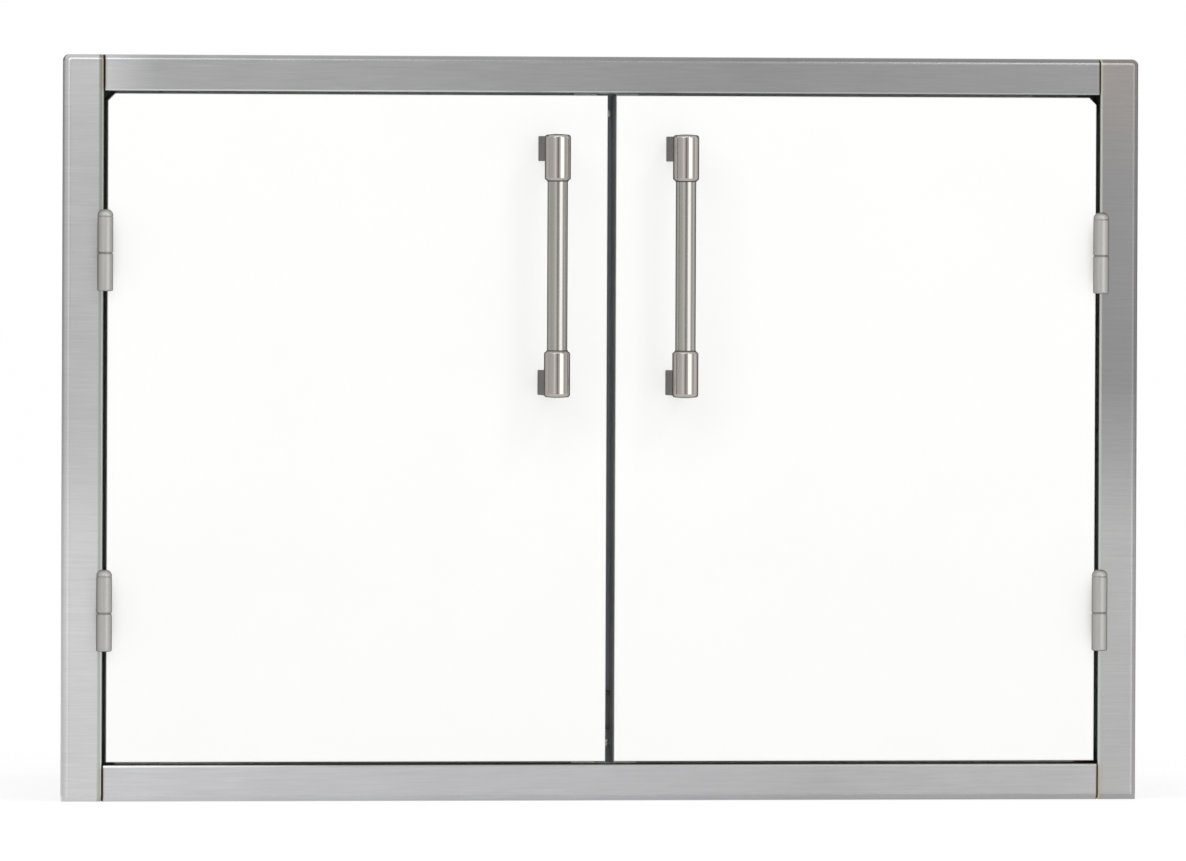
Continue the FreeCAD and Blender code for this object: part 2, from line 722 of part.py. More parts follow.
def liner_holes(sketch, side):
    """Clearance holes for a door's liner screws."""
    columns, levels = liner_screw_grid(side)
    for column in columns:
        for level in levels:
            hole(sketch, column, level, "Sizes.liner_screw + 2 * Sizes.screw_hole_clearance")


def make_face(word, side):
    """The white front sheet of a door, with a softened front edge."""
    face = new_body(f"{word}_door_face", y=FRONT)
    shape = new_sketch(face, "XZ_Plane")
    door_outline(shape, side)
    handle_holes(shape, side)
    plate = pad(face, shape, "Sizes.face_sheet", backwards=True)
    fillet(face, plate, "Sizes.face_edge_radius",
           lambda edge: len(edge.Vertexes) == 2 and lies_at(edge, y=0))
    keep(face)


def make_pan(word, side):
    """The stainless tray behind a door's face: a front, four returns and lips that the liner screws to."""
    depth = "(Sizes.door_thickness - Sizes.face_sheet - Sizes.liner_sheet)"
    pan = new_body(f"{word}_door_pan", y=f"{FRONT} + Sizes.face_sheet")
    shape = new_sketch(pan, "XZ_Plane")
    door_outline(shape, side)
    handle_holes(shape, side)
    pad(pan, shape, depth, backwards=True)
    hollow = new_sketch(pan, "XZ_Plane", "-Sizes.pan_sheet")
    door_outline(hollow, side, "Sizes.pan_sheet")
    pocket(pan, hollow, f"{depth} - 2 * Sizes.pan_sheet")
    mouth = new_sketch(pan, "XZ_Plane", f"-({depth} - Sizes.pan_sheet)")
    door_area(mouth, side, "Sizes.pan_lip")
    liner_holes(mouth, side)
    pocket(pan, mouth, "Sizes.pan_sheet")
    keep(pan)


def make_liner(word, side):
    """The sheet that closes the back of a door, with a shallow dished panel."""
    liner = new_body(f"{word}_door_liner", y=f"{DOOR_BACK} - Sizes.liner_sheet")
    shape = new_sketch(liner, "XZ_Plane")
    door_outline(shape, side)
    liner_holes(shape, side)
    pad(liner, shape, "Sizes.liner_sheet", backwards=True)
    bulge = new_sketch(liner, "XZ_Plane")
    door_area(bulge, side, "Sizes.dish_inset")
    pad(liner, bulge, "Sizes.dish_depth")
    dish = new_sketch(liner, "XZ_Plane", "-Sizes.liner_sheet")
    door_area(dish, side, "Sizes.dish_inset + Sizes.liner_sheet")
    dished = pocket(liner, dish, "Sizes.dish_depth", along=True)
    floor = -value("Sizes.dish_depth")

    def upright(edge, inset):
        columns = (value(hinge_edge(side, inset)), value(free_edge(side, inset)))
        return any(lies_at(edge, x=column) for column in columns)

    def dish_corner(edge):
        across = len(edge.Vertexes) == 2 and abs(edge.Vertexes[0].Y - edge.Vertexes[1].Y) > TOUCH
        inside = upright(edge, "Sizes.dish_inset + Sizes.liner_sheet") or upright(edge, "Sizes.dish_inset")
        return across and inside and min(corner.Y for corner in edge.Vertexes) < floor / 2

    fillet(liner, dished, "Sizes.dish_radius", dish_corner)
    keep(liner)
    columns, levels = liner_screw_grid(side)
    make_screws(f"{word}_liner_screws", (columns[0], DOOR_BACK, levels[0]), True, "liner_screw",
                "Sizes.liner_screw_length",
                [("X_Axis", f"{columns[1]} - {columns[0]}", "2"),
                 ("Z_Axis", f"{levels[2]} - {levels[0]}", "3")])


def make_gasket(word, side):
    """The rubber ring on a door's liner that closes on the jamb, the rails' stops and the mullion."""
    gasket = new_body(f"{word}_door_gasket", y=DOOR_BACK)
    bulb_inset = "Sizes.gasket_inset + (Sizes.gasket_width - Sizes.gasket_bulb) / 2"
    foot = new_sketch(gasket, "XZ_Plane")
    door_area(foot, side, "Sizes.gasket_inset")
    door_area(foot, side, "Sizes.gasket_inset + Sizes.gasket_width")
    pad(gasket, foot, "Sizes.gasket_base", backwards=True)
    bulb = new_sketch(gasket, "XZ_Plane")
    door_area(bulb, side, bulb_inset)
    door_area(bulb, side, f"{bulb_inset} + Sizes.gasket_bulb")
    reach = "Sizes.seal_depth - Sizes.seal_clearance"
    last = pad(gasket, bulb, reach, backwards=True)
    fillet(gasket, last, "Sizes.gasket_round", lambda edge: lies_at(edge, y=value(reach)))
    keep(gasket)


def make_post(word, side):
    """The upper ferrule of a handle in one piece with its post, bored for the bar and for its screw."""
    top = f"{HANDLE_MIDDLE} + Sizes.handle_length / 2"
    radius = "Sizes.ferrule_diameter / 2"
    neck = "Sizes.bar_diameter / 2 + Sizes.ferrule_lip"
    end = "-Sizes.ferrule_length"
    standoff = "Sizes.handle_standoff"
    post = new_body(f"{word}_handle_upper_post", handle_x(side), f"{FRONT} - {standoff}", top)
    profile = new_sketch(post, "XZ_Plane")
    outline(profile, [
        ("0", "0"),
        ("0", end),
        (neck, end),
        (radius, f"{end} + Sizes.ferrule_shoulder"),
        (radius, "0"),
    ])
    barrel = turned(post, profile)
    fillet(post, barrel, "Sizes.ferrule_round",
           lambda edge: lies_at(edge, z=0) and abs(edge.Vertexes[0].X) > TOUCH)
    arm = new_sketch(post, "XZ_Plane")
    bevelled(arm, middle_run("0", "Sizes.post_width"),
             ("-Sizes.post_inset - Sizes.post_height", "-Sizes.post_inset"), "Sizes.post_bevel")
    pad(post, arm, standoff, backwards=True)
    socket = new_sketch(post, "XY_Plane", end)
    hole(socket, "0", "0", "Sizes.bar_diameter + 2 * Sizes.bar_clearance")
    pocket(post, socket, "Sizes.bar_engagement", along=True)
    tapped = new_sketch(post, "XZ_Plane", f"-{standoff}")
    hole(tapped, "0", "-Sizes.post_inset - Sizes.post_height / 2",
         "Sizes.handle_screw + 2 * Sizes.bar_clearance")
    pocket(post, tapped, "Sizes.handle_screw_grip + Sizes.screw_hole_clearance", along=True)
    keep(post)
    keep(mirrored(f"{word}_handle_lower_post", post, (0, 0, 1), z=HANDLE_MIDDLE))


def make_handle(word, side):
    """A tubular bar between two posts, screwed on from inside the door."""
    make_post(word, side)
    hidden = "Sizes.ferrule_length - Sizes.bar_engagement"
    length = f"Sizes.handle_length - 2 * ({hidden})"
    bar = new_body(f"{word}_handle_bar", handle_x(side), f"{FRONT} - Sizes.handle_standoff",
                   f"{HANDLE_MIDDLE} - ({length}) / 2")
    ring = new_sketch(bar, "XY_Plane")
    hole(ring, "0", "0", "Sizes.bar_diameter")
    hole(ring, "0", "0", "Sizes.bar_diameter - 2 * Sizes.bar_wall")
    pad(bar, ring, length)
    keep(bar)
    low, high = handle_screw_levels()
    seat = f"{FRONT} + Sizes.face_sheet + Sizes.pan_sheet"
    make_screws(f"{word}_handle_screws", (handle_x(side), seat, low), True, "handle_screw",
                "Sizes.face_sheet + Sizes.pan_sheet + Sizes.handle_screw_grip",
                [("Z_Axis", f"{high} - {low}", "2")])


def make_doors():
    """Both doors: face, pan, liner, gasket and handle."""
    for word, side in SIDES.items():
        make_face(word, side)
        make_pan(word, side)
        make_liner(word, side)
        make_gasket(word, side)
        make_handle(word, side)


def make_standard(name, middle):
    """A slotted upright channel on the right side of the box."""
    standard = new_body(name, z=STANDARD_FOOT)
    low, high = middle_run(middle, "Sizes.standard_width")
    web = f"{STANDARD_FACE} + Sizes.standard_sheet"
    channel = new_sketch(standard, "XY_Plane")
    outline(channel, [
        (BOX_INNER, low),
        (STANDARD_FACE, low),
        (STANDARD_FACE, high),
        (BOX_INNER, high),
        (BOX_INNER, f"{high} - Sizes.standard_sheet"),
        (web, f"{high} - Sizes.standard_sheet"),
        (web, f"{low} + Sizes.standard_sheet"),
        (BOX_INNER, f"{low} + Sizes.standard_sheet"),
    ])
    pad(standard, channel, STANDARD_HEIGHT)
    slot = new_sketch(standard, "YZ_Plane", STANDARD_FACE)
    rectangle(slot, middle_run(middle, "Sizes.slot_width"),
              middle_run("Sizes.slot_margin", "Sizes.slot_height"))
    count = f"floor(({STANDARD_HEIGHT} - 2 * Sizes.slot_margin) / Sizes.slot_pitch) + 1"
    repeat(standard, pocket(standard, slot, "Sizes.standard_sheet", along=True),
           [("Z_Axis", f"({count} - 1) * Sizes.slot_pitch", count)])
    return standard


def make_clip(name, middle):
    """A bent clip that hooks through a slot of the right side's standard and carries a shelf corner."""
    clip = new_body(name, z=CLIP_MIDDLE)
    width = "(Sizes.slot_width - 2 * Sizes.clip_side_gap)"
    half = "Sizes.clip_sheet / 2"
    tip = f"{STANDARD_FACE} + Sizes.standard_sheet + Sizes.clip_clearance + Sizes.clip_sheet"
    leg = f"{STANDARD_FACE} - Sizes.clip_clearance"
    ledge = f"{STANDARD_FACE} - Sizes.clip_ledge"
    shape = new_sketch(clip, "XZ_Plane", f"-({middle} + {width} / 2)")
    outline(shape, [
        (ledge, half),
        (tip, half),
        (tip, f"-{half} - Sizes.clip_hook"),
        (f"{tip} - Sizes.clip_sheet", f"-{half} - Sizes.clip_hook"),
        (f"{tip} - Sizes.clip_sheet", f"-{half}"),
        (leg, f"-{half}"),
        (leg, "-Sizes.clip_leg"),
        (f"{leg} - Sizes.clip_sheet", "-Sizes.clip_leg"),
        (f"{leg} - Sizes.clip_sheet", f"-{half}"),
        (ledge, f"-{half}"),
    ])
    pad(clip, shape, width)
    return clip


def make_shelf():
    """The adjustable shelf, four clips under its corners and the four standards that they hook into."""
    standards = [make_standard("front_standard", STANDARD_FRONT),
                 make_standard("rear_standard", STANDARD_REAR)]
    standards += [mirrored(f"{part.Name}_left", part, (1, 0, 0)) for part in standards]
    keep(group("shelf_standards", standards))
    clips = [make_clip("front_clip", STANDARD_FRONT), make_clip("rear_clip", STANDARD_REAR)]
    clips += [mirrored(f"{part.Name}_left", part, (1, 0, 0)) for part in clips]
    keep(group("shelf_clips", clips))

    shelf = new_body("shelf", z=SHELF_FOOT)
    reach = f"({STANDARD_FACE} - Sizes.shelf_side_gap)"
    front = "Sizes.shelf_setback"
    back = "Sizes.shelf_setback + Sizes.shelf_depth"
    between = (f"-({reach} - Sizes.shelf_sheet)", f"({reach} - Sizes.shelf_sheet)")
    outer = new_sketch(shelf, "XY_Plane")
    rectangle(outer, (f"-{reach}", reach), (front, back))
    tray = pad(shelf, outer, "Sizes.shelf_flange")
    top = value("Sizes.shelf_flange")
    fillet(shelf, tray, "Sizes.shelf_edge_radius", lambda edge: lies_at(edge, z=top))
    under = new_sketch(shelf, "XY_Plane")
    rectangle(under, between, (f"{front} + Sizes.shelf_sheet", f"{back} - Sizes.shelf_sheet"))
    pocket(shelf, under, "Sizes.shelf_flange - Sizes.shelf_sheet", along=True)
    hems = new_sketch(shelf, "XY_Plane")
    rectangle(hems, between,
              (f"{front} + Sizes.shelf_sheet", f"{front} + Sizes.shelf_sheet + Sizes.shelf_hem"))
    rectangle(hems, between,
              (f"{back} - Sizes.shelf_sheet - Sizes.shelf_hem", f"{back} - Sizes.shelf_sheet"))
    pad(shelf, hems, "Sizes.shelf_sheet")
    keep(shelf)


def write_pieces():
    """Stop on anything that failed to build, then write each sub-part."""
    doc.recompute()
    broken = [thing.Label for thing in doc.Objects if {"Invalid", "Error"} & set(thing.State)]
    broken += [piece.Label for piece in pieces if piece.Shape.isNull() or not piece.Shape.isValid()]
    if broken:
        raise RuntimeError(f"failed to build: {broken}")
    os.makedirs("parts", exist_ok=True)
    for piece in pieces:
        piece.Shape.exportStep(f"parts/{piece.Label}.step")


make_stiles()
make_rails()
make_box()
make_mullion()
make_hinges()
make_doors()
make_shelf()
write_pieces()
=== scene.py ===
"""Looks of a built-in outdoor pantry: stainless frame and box, white doors, barrel hinges, bar handles.

Metres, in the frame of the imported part: +Z up, doors facing -Y, the wall plane at y = 0.
"""
import bmesh
import bpy
import numpy as np
from mathutils import Matrix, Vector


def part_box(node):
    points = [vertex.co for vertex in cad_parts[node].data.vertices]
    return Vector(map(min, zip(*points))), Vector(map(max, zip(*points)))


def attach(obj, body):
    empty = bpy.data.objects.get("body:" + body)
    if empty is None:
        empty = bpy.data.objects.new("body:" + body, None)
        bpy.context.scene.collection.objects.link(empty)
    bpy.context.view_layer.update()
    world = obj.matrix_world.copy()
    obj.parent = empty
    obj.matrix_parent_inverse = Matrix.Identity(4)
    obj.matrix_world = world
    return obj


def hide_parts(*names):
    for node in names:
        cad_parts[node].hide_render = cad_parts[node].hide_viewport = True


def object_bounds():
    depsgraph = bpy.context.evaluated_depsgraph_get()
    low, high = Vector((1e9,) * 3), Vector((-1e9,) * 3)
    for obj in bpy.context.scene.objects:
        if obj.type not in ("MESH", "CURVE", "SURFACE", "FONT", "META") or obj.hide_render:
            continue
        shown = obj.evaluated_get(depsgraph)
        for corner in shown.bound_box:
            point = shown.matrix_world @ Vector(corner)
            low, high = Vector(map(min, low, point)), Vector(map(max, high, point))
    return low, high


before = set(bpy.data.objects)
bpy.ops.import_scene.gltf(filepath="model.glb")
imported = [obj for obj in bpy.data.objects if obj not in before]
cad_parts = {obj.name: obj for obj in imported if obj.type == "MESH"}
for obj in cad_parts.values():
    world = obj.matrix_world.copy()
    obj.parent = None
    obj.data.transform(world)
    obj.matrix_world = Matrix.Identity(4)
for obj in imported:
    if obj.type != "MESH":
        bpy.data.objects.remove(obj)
cad_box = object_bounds()


# Face frame. Two full-height stiles with two rails butted between them, bent from 1.5 mm stainless
# sheet and belt-brushed from side to side; the outer bends are dressed smooth. Welding left straw and
# brown heat tint beside the rails' ends.
MM = 0.001
FRAME_MIDDLE = (cad_box[0].z + cad_box[1].z) / 2
FRAME_HALF = (cad_box[1].z - cad_box[0].z) / 2
RAIL_HEIGHT = 25.5 * MM
SEAM_GAP = 0.4 * MM
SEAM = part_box("bottom_rail")[1].x + SEAM_GAP / 2
# How far the outer bends are dressed, and the share of the sheet's roughness that this leaves
DRESSED = 5 * MM
DRESSED_GLOSS = 0.5
GRAIN_LENGTH = 30 * MM
# Real brush lines are about 0.1 mm wide; they are drawn wider so that they show from a step away
GRAIN_WIDTH = 0.9 * MM
CLOUD = 70 * MM
CLOUD_SHARE = 0.45
# Where the mixed lines and clouds mostly lie, and how far they move the tone and the gloss
BRUSH_RANGE = (0.45, 1.0)
BRUSH_TONES = (0.93, 1.07)
BRUSH_GLOSS = 0.06
# Three tones from foot to head or from left to right, and the shares of the way where they change. They are
# painted light: each sheet is lighter or darker where the light falls, and the right stile darker than the
# left
STILE_LIGHT_TONES = {"left_stile": (("#CBCBCB", "#B7B7B7", "#C0C0C0"), (0.33, 0.52, 0.84, 0.98)),
          "right_stile": (("#A2A1A1", "#7F7E7E", "#888481"), (0.36, 0.56, 0.84, 0.98))}
RAIL_LIGHT_TONES = {"top_rail": (("#C1C1C2", "#A7A7A8", "#868686"), (0.04, 0.085, 0.085, 0.64)),
         "bottom_rail": (("#C7C7C9", "#BDBDBF", "#A5A5A6"), (0.04, 0.2, 0.2, 0.7))}
# Painted highlight and shade along the inner bends, greener on the stiles and bright on the rails at the
# left: the tones at the foot and the head or at the left and the right, the shares of the way between which
# one fades into the other, and the reach; the tone is full over a share of the reach
BEND_HIGHLIGHT_FULL = 0.7
BEND_HIGHLIGHTS = {"left_stile": ("#B0B6AF", "#8C928B", (0.0, 1.0), 4.6 * MM),
         "right_stile": ("#BCC4BC", "#B2B6AE", (0.0, 1.0), 2.4 * MM),
         "top_rail": ("#CDD0CF", "#AEB1B2", (0.3, 0.6), 1.6 * MM),
         "bottom_rail": ("#F0F0EC", "#A6A6A1", (0.04, 0.26), 2.0 * MM)}
# Heat tint: its tone, how far it reaches from the seam, and its strength at the foot and at the head
HEAT = {"left_stile": ("#857A66", 4.5 * MM, 0.55, 0.85), "right_stile": ("#A3957C", 5.5 * MM, 0.75, 0.25),
        "top_rail": ("#A08C88", 2.2 * MM, 0.5, 0.5), "bottom_rail": ("#B5A09A", 2.2 * MM, 0.5, 0.5)}
# The marks fade in from just inside the opening to just beyond its edge
MARK_FADE = (-2 * MM, 4 * MM)
# The soot's dark brown and strength also serve the painted shade in the corners
SOOT_AND_CORNER_SHADE = "#33291F"
SOOT_REACH = 0.9 * MM
SOOT_AND_SHADE_STRENGTH = 0.9
# Where the stops meet, painted shade darkens the corners this far, for the dark hollow behind the doors. The
# shade deepens from the wall plane to a depth, covers the stops' front faces, and leaves the backs of the
# sheets clean
CORNER_SHADE_REACH = 13 * MM
CORNER_SHADE_FULL = 0.8
CORNER_SHADE_DEPTH = (0.0, 10 * MM)
STOP_SKIN = (16 * MM, 15.2 * MM)
SHEET_SKIN = (1.05 * MM, 0.6 * MM)


def linear(code, share=1.0):
    """An sRGB hex code as linear red, green, blue and alpha, made lighter or darker by a share."""
    parts = np.array([int(code[i:i + 2], 16) for i in (1, 3, 5)]) / 255
    curve = np.where(parts <= 0.04045, parts / 12.92, ((parts + 0.055) / 1.055) ** 2.4)
    return (*np.minimum(curve * share, 1.0).tolist(), 1.0)


def add(tree, kind, inputs=None, out=0, **settings):
    """Add a node and give one of its outputs.

    The inputs are values or other nodes' outputs, by socket name or in socket order; settings are options.
    """
    made = tree.nodes.new(kind)
    for option, choice in settings.items():
        setattr(made, option, choice)
    for socket, source in (inputs if isinstance(inputs, dict) else dict(enumerate(inputs or ()))).items():
        if isinstance(source, bpy.types.NodeSocket):
            tree.links.new(source, made.inputs[socket])
        else:
            made.inputs[socket].default_value = source
    return made.outputs[out] if out is not None else made


def new_material(name):
    """A material with an empty node tree, the tree, and the surface's own coordinates in metres."""
    material = bpy.data.materials.new(name)
    material.use_nodes = True
    tree = material.node_tree
    tree.nodes.clear()
    return material, tree, add(tree, "ShaderNodeTexCoord", out="Object")


def weld_marks(tree, place, sheet, node):
    """A sheet's painted inner-bend highlight, heat tint beside the rails' ends, soot in the seams, painted
    shade behind the corners.

    Gives the coloured sheet and a share that is 1 at the frame's outer bends.
    """
    across = add(tree, "ShaderNodeSeparateXYZ", [place], out="X")
    height = add(tree, "ShaderNodeSeparateXYZ", [place], out="Z")
    aside = add(tree, "ShaderNodeMath", [across], operation="ABSOLUTE")
    outside = add(tree, "ShaderNodeMath", [aside, SEAM], operation="SUBTRACT")
    away = add(tree, "ShaderNodeMath", [outside], operation="ABSOLUTE")
    rise = add(tree, "ShaderNodeMath", [height, FRAME_MIDDLE], operation="SUBTRACT")
    rise = add(tree, "ShaderNodeMath", [rise], operation="ABSOLUTE")
    beyond = add(tree, "ShaderNodeMath", [rise, FRAME_HALF - RAIL_HEIGHT], operation="SUBTRACT")
    # Painted highlight and shade along the sheet's inner bend
    first, last, shares, reach = BEND_HIGHLIGHTS[node]
    inwards, along, axis = (away, height, 2) if node in STILE_LIGHT_TONES else (beyond, across, 0)
    stops = np.interp(shares, (0, 1), (cad_box[0][axis], cad_box[1][axis])).tolist()
    way = add(tree, "ShaderNodeMapRange", [along, *stops])
    bend = add(tree, "ShaderNodeMapRange", [inwards, BEND_HIGHLIGHT_FULL * reach, reach, 1.0, 0.0])
    tone = add(tree, "ShaderNodeMixRGB", [way, linear(first), linear(last)])
    sheet = add(tree, "ShaderNodeMixRGB", [bend, sheet, tone])
    level = add(tree, "ShaderNodeMapRange", [beyond, *MARK_FADE])
    tone, reach, foot, head = HEAT[node]
    stain = add(tree, "ShaderNodeMapRange", [height, cad_box[0].z, cad_box[1].z, foot, head])
    stain = add(tree, "ShaderNodeMapRange", [away, 0.0, reach, stain, 0.0])
    stain = add(tree, "ShaderNodeMath", [stain, level], operation="MULTIPLY")
    sheet = add(tree, "ShaderNodeMixRGB", [stain, sheet, linear(tone)])
    soot = add(tree, "ShaderNodeMapRange", [away, SEAM_GAP / 2, SOOT_REACH, SOOT_AND_SHADE_STRENGTH, 0.0])
    soot = add(tree, "ShaderNodeMath", [soot, level], operation="MULTIPLY")
    sheet = add(tree, "ShaderNodeMixRGB", [soot, sheet, linear(SOOT_AND_CORNER_SHADE)])
    depth = add(tree, "ShaderNodeSeparateXYZ", [place], out="Y")
    # Painted shade in the corners where the stops meet
    corner = add(tree, "ShaderNodeMath", [outside, beyond], operation="MINIMUM")
    back = add(tree, "ShaderNodeMath", [outside, beyond], operation="MAXIMUM")
    corner_shade = add(tree, "ShaderNodeMapRange",
               [corner, -CORNER_SHADE_REACH, -CORNER_SHADE_FULL * CORNER_SHADE_REACH, 0.0, SOOT_AND_SHADE_STRENGTH])
    for measure, fade in ((depth, CORNER_SHADE_DEPTH), (depth, STOP_SKIN), (back, SHEET_SKIN)):
        share = add(tree, "ShaderNodeMapRange", [measure, *fade])
        corner_shade = add(tree, "ShaderNodeMath", [corner_shade, share], operation="MULTIPLY")
    sheet = add(tree, "ShaderNodeMixRGB", [corner_shade, sheet, linear(SOOT_AND_CORNER_SHADE)])
    return sheet, add(tree, "ShaderNodeMapRange", [rise, FRAME_HALF - DRESSED, FRAME_HALF - DRESSED / 2])


def brushed_stainless(name, along, tones, shares=(0.0, 0.5, 0.5, 1.0), turn=0, roughness=0.36, node=None):
    """Belt-brushed stainless sheet: long fine lines in tone, gloss and relief, with faint clouds.

    The lines run along X and Y; a turn of 45 degrees about X carries them round a bend along X. The
    sheet's tones change between the first two shares of the way and again between the last two.
    """
    material, tree, place = new_material(name)
    grain = add(tree, "ShaderNodeTexNoise", {
        "Vector": add(tree, "ShaderNodeMapping", {
            "Vector": place, "Rotation": (np.radians(turn), 0, 0),
            "Scale": (GRAIN_LENGTH, GRAIN_LENGTH, GRAIN_WIDTH),
        }, vector_type="TEXTURE"),
        "Scale": 1.0, "Detail": 3.0, "Roughness": 0.65,
    })
    cloud = add(tree, "ShaderNodeTexNoise", {"Vector": place, "Scale": 1 / CLOUD})
    axis = "XYZ".index(along)
    stops = np.interp(shares, (0, 1), (cad_box[0][axis], cad_box[1][axis])).tolist()
    way = add(tree, "ShaderNodeSeparateXYZ", [place], out=along)
    early = add(tree, "ShaderNodeMapRange", [way, *stops[:2]])
    late = add(tree, "ShaderNodeMapRange", [way, *stops[2:]])
    # On the frame these tones are painted light and shade along each sheet
    even = add(tree, "ShaderNodeMixRGB", [early, linear(tones[0]), linear(tones[1])])
    even = add(tree, "ShaderNodeMixRGB", [late, even, linear(tones[2])])
    mixed = add(tree, "ShaderNodeMath", [cloud, CLOUD_SHARE, grain], operation="MULTIPLY_ADD")
    light = add(tree, "ShaderNodeMapRange", [mixed, *BRUSH_RANGE, *BRUSH_TONES])
    sheet = add(tree, "ShaderNodeMixRGB", [1.0, even, light], blend_type="MULTIPLY")
    gloss = add(tree, "ShaderNodeMapRange",
                [grain, 0.0, 1.0, roughness - BRUSH_GLOSS, roughness + BRUSH_GLOSS])
    if node:
        sheet, dressed = weld_marks(tree, place, sheet, node)
        polish = add(tree, "ShaderNodeMapRange", [dressed, 0.0, 1.0, 1.0, DRESSED_GLOSS])
        gloss = add(tree, "ShaderNodeMath", [gloss, polish], operation="MULTIPLY")
    add(tree, "ShaderNodeOutputMaterial", [add(tree, "ShaderNodeBsdfPrincipled", {
        "Base Color": sheet, "Metallic": 1.0, "Roughness": gloss, "Anisotropic": 0.6,
        "Anisotropic Rotation": 0.25,
        "Tangent": add(tree, "ShaderNodeTangent", direction_type="RADIAL", axis="Z"),
        "Normal": add(tree, "ShaderNodeBump", {"Height": grain, "Strength": 0.12, "Distance": 0.05 * MM}),
    })], out=None)
    return material


def dress(material, *nodes):
    """Give CAD nodes a material."""
    for name in nodes:
        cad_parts[name].material_slots[0].material = material


for sheets, along, turn in ((STILE_LIGHT_TONES, "Z", 0), (RAIL_LIGHT_TONES, "X", 45)):
    for node, (tones, shares) in sheets.items():
        dress(brushed_stainless(f"brushed stainless {node}", along, tones, shares, turn, node=node), node)


# Corner welds. Each rail end is closed by a thin fillet of weld, a little sunk in the seam between it
# and the stile; ground but not polished, it stays dark brown.
WELD_SINK = 0.35 * MM
WELD_LAP = 0.15 * MM
OUTER_BEND = 4.5 * MM
INNER_BEND = 1.8 * MM
WELD_BROWN = "#3A2D23"
# Where a noise pattern mostly lies, a blotch's size in grits, and how far blotches and pits move the tone
# and the gloss
NOISE_RANGE = (0.3, 0.7)
BLOTCH = 12
DULL_TONES = (0.85, 1.15)
DULL_GLOSS = 0.08
SHARP = np.radians(32)


def arc(centre, radius, start, end, steps=8):
    """Points on an arc: the centre plus radius times the cosine and sine of an even run of degrees."""
    angle = np.radians(np.linspace(start, end, steps))
    return np.array(centre) + radius * np.stack([np.cos(angle), np.sin(angle)], axis=1)


def cells(index):
    """The four corners of each cell of a grid of vertex numbers."""
    return np.stack([index[:-1, :-1], index[:-1, 1:], index[1:, 1:], index[1:, :-1]], axis=-1).reshape(-1, 4)


def skin(points, ring=False):
    """Vertices and blocks of faces of a grid of points whose columns close on themselves.

    Each cell is one face. The last row joins the first on a ring, and otherwise each end row is capped.
    """
    rows, columns = points.shape[:2]
    index = np.arange(rows * columns).reshape(rows, columns)
    index = np.concatenate([index, index[:, :1]], axis=1)
    if ring:
        blocks = [cells(np.concatenate([index, index[:1]]))]
    else:
        blocks = [cells(index), index[:1, -2::-1], index[-1:, :-1]]
    return points.reshape(-1, 3), blocks


def new_piece(name, skins, material, body, slot, *stands_for):
    """Join closed skins into one piece, facing outwards, smooth but for its sharp edges, on a body."""
    starts = np.cumsum([0] + [len(vertices) for vertices, _ in skins])
    blocks = [block + start for start, (_, own) in zip(starts, skins) for block in own]
    mesh = bpy.data.meshes.new(name)
    mesh.from_pydata(np.concatenate([vertices for vertices, _ in skins]), [],
                     [face for block in blocks for face in block.tolist()])
    outward = bmesh.new()
    outward.from_mesh(mesh)
    bmesh.ops.recalc_face_normals(outward, faces=outward.faces)
    outward.to_mesh(mesh)
    outward.free()
    mesh.shade_smooth()
    mesh.set_sharp_from_angle(angle=SHARP)
    mesh.materials.append(material)
    piece = bpy.data.objects.new(name, mesh)
    bpy.context.scene.collection.objects.link(piece)
    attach(piece, body)
    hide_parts(*stands_for)
    return piece


def weld(rail, side):
    """A weld across one end of a rail: the rail's outline, sunk a little, carried across the seam.

    The outline is a rectangle in Y and Z with an arc at each front corner, wide on the outer one.
    """
    low, high = np.array(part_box(rail))
    up = 1 if rail == "top_rail" else -1
    outer, inner = (high[2], high[2] - RAIL_HEIGHT) if up > 0 else (low[2], low[2] + RAIL_HEIGHT)
    front, rear = low[1] + WELD_SINK, -WELD_SINK
    outer, inner = outer - up * WELD_SINK, inner + up * WELD_SINK
    loop = np.concatenate([
        [(rear, inner), (rear, outer)],
        arc((front + OUTER_BEND, 0), OUTER_BEND, 90, 180) * (1, up) + (0, outer - up * OUTER_BEND),
        arc((front + INNER_BEND, 0), INNER_BEND, 180, 270) * (1, up) + (0, inner + up * INNER_BEND),
    ])
    x = side * (SEAM + np.array([-1, 1]) * (SEAM_GAP / 2 + WELD_LAP))
    return np.stack(np.broadcast_arrays(x[:, None], loop[:, 0], loop[:, 1]), axis=-1)


def dull_metal(name, tone, roughness, grit, depth):
    """Cast or ground metal that was never polished: blotchy tone and a fine pitted relief."""
    material, tree, place = new_material(name)
    pits = add(tree, "ShaderNodeTexNoise", {"Vector": place, "Scale": 1 / grit, "Detail": 4.0})
    blotch = add(tree, "ShaderNodeTexNoise", {"Vector": place, "Scale": 1 / (BLOTCH * grit), "Detail": 3.0})
    add(tree, "ShaderNodeOutputMaterial", [add(tree, "ShaderNodeBsdfPrincipled", {
        "Base Color": add(tree, "ShaderNodeMixRGB", [blotch, *(linear(tone, share) for share in DULL_TONES)]),
        "Metallic": 1.0,
        "Roughness": add(tree, "ShaderNodeMapRange",
                         [pits, *NOISE_RANGE, roughness - DULL_GLOSS, roughness + DULL_GLOSS]),
        "Normal": add(tree, "ShaderNodeBump", {"Height": pits, "Strength": 0.4, "Distance": depth}),
    })], out=None)
    return material


new_piece("corner_welds", [skin(weld(rail, side)) for rail in RAIL_LIGHT_TONES for side in (-1, 1)],
          dull_metal("dark weld steel", WELD_BROWN, roughness=0.6, grit=0.5 * MM, depth=0.1 * MM),
          "cabinet", "frame_stainless")


# Box behind the frame. Five panels of thin cold-rolled stainless sheet, lapped and spot-welded, left
# in the mill's dull grey finish: soft cloudy reflections with a faint rolling direction.
ROLLING_LENGTH = 120 * MM
ROLLING_WIDTH = 3 * MM
SMUDGE = 90 * MM
MILL_GREY = "#C4C5C5"
MILL_TONES = (0.92, 1.06)
MILL_GLOSS = 0.07


